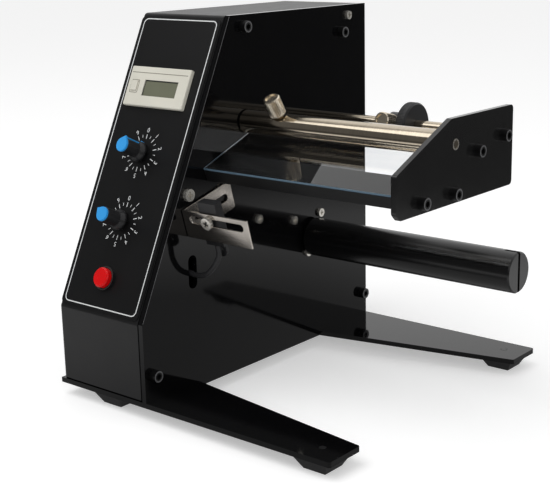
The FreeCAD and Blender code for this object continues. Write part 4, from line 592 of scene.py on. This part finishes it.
# Painted highlight: a lighter ring on the power switch's bezel, where its rim catches the light.
points, faces = ring_mesh(circle(6.95), circle(6.3), 2.08, 2.14, on_panel(37.4, 21.2))
add_piece("power_bezel_highlight", points, faces, "bezel_highlight", "machine", smooth=False)

# Sensor lead: from the slot in the side plate to the underside of the sensor.

LEAD_CORNERS = [(-20, 41.2, 72), (-8, 41.2, 67.6), (3, 40.8, 65.6), (11, 40.8, 67),
                (16.6, 41.6, 72.6), (19.5, 43.593, 79.345), (19.5, 41.781, 86.106)]
LEAD_RADIUS = 1.6
LEAD_SHARE = 0.45
LEAD_STEPS = 8
LEAD_SIDES = 24
LEAD_HALF_WAY = 11
LEAD_SMOOTH_BELOW = math.radians(50)


def lead_line():
    """The lead's middle line: straight runs joined by curves."""
    corners = [place(*corner) for corner in LEAD_CORNERS]
    line = [corners[0]]
    for before, corner, after in zip(corners, corners[1:], corners[2:]):
        reach = LEAD_SHARE * min((corner - before).length, (after - corner).length)
        start = corner + (before - corner).normalized() * reach
        end = corner + (after - corner).normalized() * reach
        for index in range(LEAD_STEPS + 1):
            share = index / LEAD_STEPS
            line.append(start.lerp(corner, share).lerp(corner.lerp(end, share), share))
    line.append(corners[-1])
    return line


def tube_rings(line, radius, sides):
    """Rings of points round a line, each turned as little as possible from the last."""
    rings = []
    side = Vector((0, 1, 0))
    for index, point in enumerate(line):
        ahead = line[min(index + 1, len(line) - 1)]
        behind = line[max(index - 1, 0)]
        run = (ahead - behind).normalized()
        side = (side - run * side.dot(run)).normalized()
        other = run.cross(side)
        ring = []
        for step in range(sides):
            turn = 2 * math.pi * step / sides
            ring.append(point + (side * math.cos(turn) + other * math.sin(turn)) * radius)
        rings.append(ring)
    return rings


def add_lead():
    """The lead in two halves, split at the point of its line nearest the half-way mark."""
    line = lead_line()
    sides = LEAD_SIDES
    rings = tube_rings(line, LEAD_RADIUS * MM, sides)
    half_way = place(LEAD_HALF_WAY, 0, 0).x
    middle = min(range(len(line)), key=lambda index: abs(line[index].x - half_way))
    halves = {
        "sensor_lead_lower": (0, middle, "machine", "holder", place(0, 41, 66), line[middle]),
        "sensor_lead_upper": (middle, len(line) - 1, "holder", "sensor", line[middle], line[-1]),
    }
    for name, (first, last, body, next_body, start, end) in halves.items():
        points = [point for ring in rings[first:last + 1] for point in ring]
        faces = []
        for row in range(last - first):
            for step in range(sides):
                following = (step + 1) % sides
                low = row * sides
                faces.append((low + step, low + following, low + sides + following, low + sides + step))
        faces.append(tuple(reversed(range(sides))))
        faces.append(tuple(range((last - first) * sides, (last - first + 1) * sides)))
        mesh = bpy.data.meshes.new(name)
        mesh.from_pydata([tuple(point) for point in points], [], faces)
        mesh.materials.append(LOOKS["lead_jacket"])
        for polygon in mesh.polygons:
            polygon.use_smooth = True
        mesh.set_sharp_from_angle(angle=LEAD_SMOOTH_BELOW)
        half = bpy.data.objects.new(name, mesh)
        bpy.context.collection.objects.link(half)
        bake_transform(half)
        if first == 0:
            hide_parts("sensor_lead")


add_lead()

# Floor, world, lamps and camera.  Levels are shares of white; the floor's steps are distances in metres.

FLOOR_REACH = 6.0
FLOOR_GLOW = 0.40
# Painted shadow: the mirrored floor is darker close to the object, in place of its shadow.
MIRRORED_FLOOR_WITH_SHADOW = ((0.14, 0.38), (0.30, 0.90), (0.40, 0.90), (0.60, 0.07))
MIRRORED_FRONT = 0.12
MIRRORED_REAR = 1.0
FRONT_TO_REAR = 0.25
SEEN_LEVEL = 1.0
LIGHT_LEVEL = 0.62


def add_floor():
    """A pale floor with the object's shadow.  Polished pieces mirror it with a painted shadow near the
    object, bright beyond it, and dark far off.
    """
    corners = [(x * FLOOR_REACH, y * FLOOR_REACH, 0) for x, y in ((-1, -1), (1, -1), (1, 1), (-1, 1))]
    mesh = bpy.data.meshes.new("floor")
    mesh.from_pydata(corners, [], [(0, 1, 2, 3)])
    floor = bpy.data.objects.new("floor", mesh)
    bpy.context.collection.objects.link(floor)
    made = bpy.data.materials.new("floor")
    made.use_nodes = True
    tree = made.node_tree
    tree.nodes.clear()
    output = tree.nodes.new("ShaderNodeOutputMaterial")
    pale = tree.nodes.new("ShaderNodeBsdfDiffuse")
    pale.inputs["Color"].default_value = (0.8, 0.8, 0.8, 1)
    glow = tree.nodes.new("ShaderNodeEmission")
    glow.inputs["Strength"].default_value = FLOOR_GLOW
    lit = tree.nodes.new("ShaderNodeAddShader")
    tree.links.new(pale.outputs[0], lit.inputs[0])
    tree.links.new(glow.outputs[0], lit.inputs[1])
    coordinates = tree.nodes.new("ShaderNodeTexCoord")
    distance = tree.nodes.new("ShaderNodeVectorMath")
    distance.operation = "LENGTH"
    tree.links.new(coordinates.outputs["Object"], distance.inputs[0])
    fade = tree.nodes.new("ShaderNodeValToRGB")
    for position, level in MIRRORED_FLOOR_WITH_SHADOW[1:-1]:
        fade.color_ramp.elements.new(position)
    for element, (position, level) in zip(fade.color_ramp.elements, MIRRORED_FLOOR_WITH_SHADOW):
        element.position = position
        element.color = (level, level, level, 1)
    tree.links.new(distance.outputs["Value"], fade.inputs["Fac"])
    mirrored = tree.nodes.new("ShaderNodeEmission")
    tree.links.new(fade.outputs["Color"], mirrored.inputs["Color"])
    path = tree.nodes.new("ShaderNodeLightPath")
    seen = tree.nodes.new("ShaderNodeMath")
    seen.operation = "MAXIMUM"
    tree.links.new(path.outputs["Is Camera Ray"], seen.inputs[0])
    tree.links.new(path.outputs["Is Transmission Ray"], seen.inputs[1])
    plain_or_mirrored = tree.nodes.new("ShaderNodeMixShader")
    tree.links.new(path.outputs["Is Glossy Ray"], plain_or_mirrored.inputs["Fac"])
    tree.links.new(pale.outputs[0], plain_or_mirrored.inputs[1])
    tree.links.new(mirrored.outputs[0], plain_or_mirrored.inputs[2])
    final = tree.nodes.new("ShaderNodeMixShader")
    tree.links.new(seen.outputs[0], final.inputs["Fac"])
    tree.links.new(plain_or_mirrored.outputs[0], final.inputs[1])
    tree.links.new(lit.outputs[0], final.inputs[2])
    tree.links.new(final.outputs[0], output.inputs["Surface"])
    floor.data.materials.append(made)


def add_world():
    """White to the eye; polished pieces mirror it white at the rear and dark in front."""
    world = bpy.data.worlds.new("studio")
    bpy.context.scene.world = world
    world.use_nodes = True
    tree = world.node_tree
    tree.nodes.clear()
    output = tree.nodes.new("ShaderNodeOutputWorld")
    coordinates = tree.nodes.new("ShaderNodeTexCoord")
    parts = tree.nodes.new("ShaderNodeSeparateXYZ")
    tree.links.new(coordinates.outputs["Generated"], parts.inputs[0])
    rear = tree.nodes.new("ShaderNodeMapRange")
    rear.inputs["From Min"].default_value = -FRONT_TO_REAR
    rear.inputs["From Max"].default_value = FRONT_TO_REAR
    rear.inputs["To Min"].default_value = MIRRORED_FRONT
    rear.inputs["To Max"].default_value = MIRRORED_REAR
    tree.links.new(parts.outputs["Y"], rear.inputs["Value"])
    path = tree.nodes.new("ShaderNodeLightPath")
    backgrounds = {}
    for name, strength in (("seen", SEEN_LEVEL), ("glossy", MIRRORED_REAR), ("light", LIGHT_LEVEL)):
        backgrounds[name] = tree.nodes.new("ShaderNodeBackground")
        backgrounds[name].inputs["Color"].default_value = (1, 1, 1, 1)
        backgrounds[name].inputs["Strength"].default_value = strength
    tree.links.new(rear.outputs["Result"], backgrounds["glossy"].inputs["Strength"])
    mirrored = tree.nodes.new("ShaderNodeMixShader")
    tree.links.new(path.outputs["Is Glossy Ray"], mirrored.inputs["Fac"])
    tree.links.new(backgrounds["light"].outputs[0], mirrored.inputs[1])
    tree.links.new(backgrounds["glossy"].outputs[0], mirrored.inputs[2])
    direct = tree.nodes.new("ShaderNodeMath")
    direct.operation = "MAXIMUM"
    tree.links.new(path.outputs["Is Camera Ray"], direct.inputs[0])
    tree.links.new(path.outputs["Is Transmission Ray"], direct.inputs[1])
    final = tree.nodes.new("ShaderNodeMixShader")
    tree.links.new(direct.outputs[0], final.inputs["Fac"])
    tree.links.new(mirrored.outputs[0], final.inputs[1])
    tree.links.new(backgrounds["seen"].outputs[0], final.inputs[2])
    tree.links.new(final.outputs[0], output.inputs["Surface"])


def add_lamp(name, location, width, watts):
    """A soft square lamp that faces the object."""
    data = bpy.data.lights.new(name, "AREA")
    data.shape = "SQUARE"
    data.size = width
    data.energy = watts
    lamp = bpy.data.objects.new(name, data)
    lamp.location = location
    lamp.rotation_euler = (Vector((0, 0, 0.1)) - Vector(location)).to_track_quat("-Z", "Y").to_euler()
    bpy.context.collection.objects.link(lamp)


CAMERA_PLACE = (466.13, -432.69, 254.43)
CAMERA_ANGLES = (39.02, 14.50, -0.99)
LENS = 78.86
SHIFT = (-0.0528, -0.0163)


def add_camera():
    """The photographer's place: in front, to the right and a little above."""
    azimuth, elevation, roll = (math.radians(angle) for angle in CAMERA_ANGLES)
    out = Vector((-math.sin(azimuth) * math.cos(elevation), math.cos(azimuth) * math.cos(elevation),
                  -math.sin(elevation)))
    level = Vector((math.cos(azimuth), math.sin(azimuth), 0))
    above = level.cross(out)
    right = math.cos(roll) * level + math.sin(roll) * above
    up = math.cos(roll) * above - math.sin(roll) * level
    data = bpy.data.cameras.new("camera")
    data.sensor_fit = "HORIZONTAL"
    data.sensor_width = 36.0
    data.lens = LENS
    data.shift_x, data.shift_y = SHIFT
    data.dof.use_dof = False
    camera = bpy.data.objects.new("camera", data)
    bpy.context.collection.objects.link(camera)
    camera.matrix_world = frame_at(place(*CAMERA_PLACE), right, up, -out)
    bpy.context.scene.camera = camera


add_floor()
add_world()
add_lamp("key", (-0.3, -0.6, 1.4), 1.2, 8.0)
add_lamp("fill", (1.2, -0.7, 0.8), 1.0, 2.0)
add_camera()
bpy.context.scene.view_settings.view_transform = "Standard"
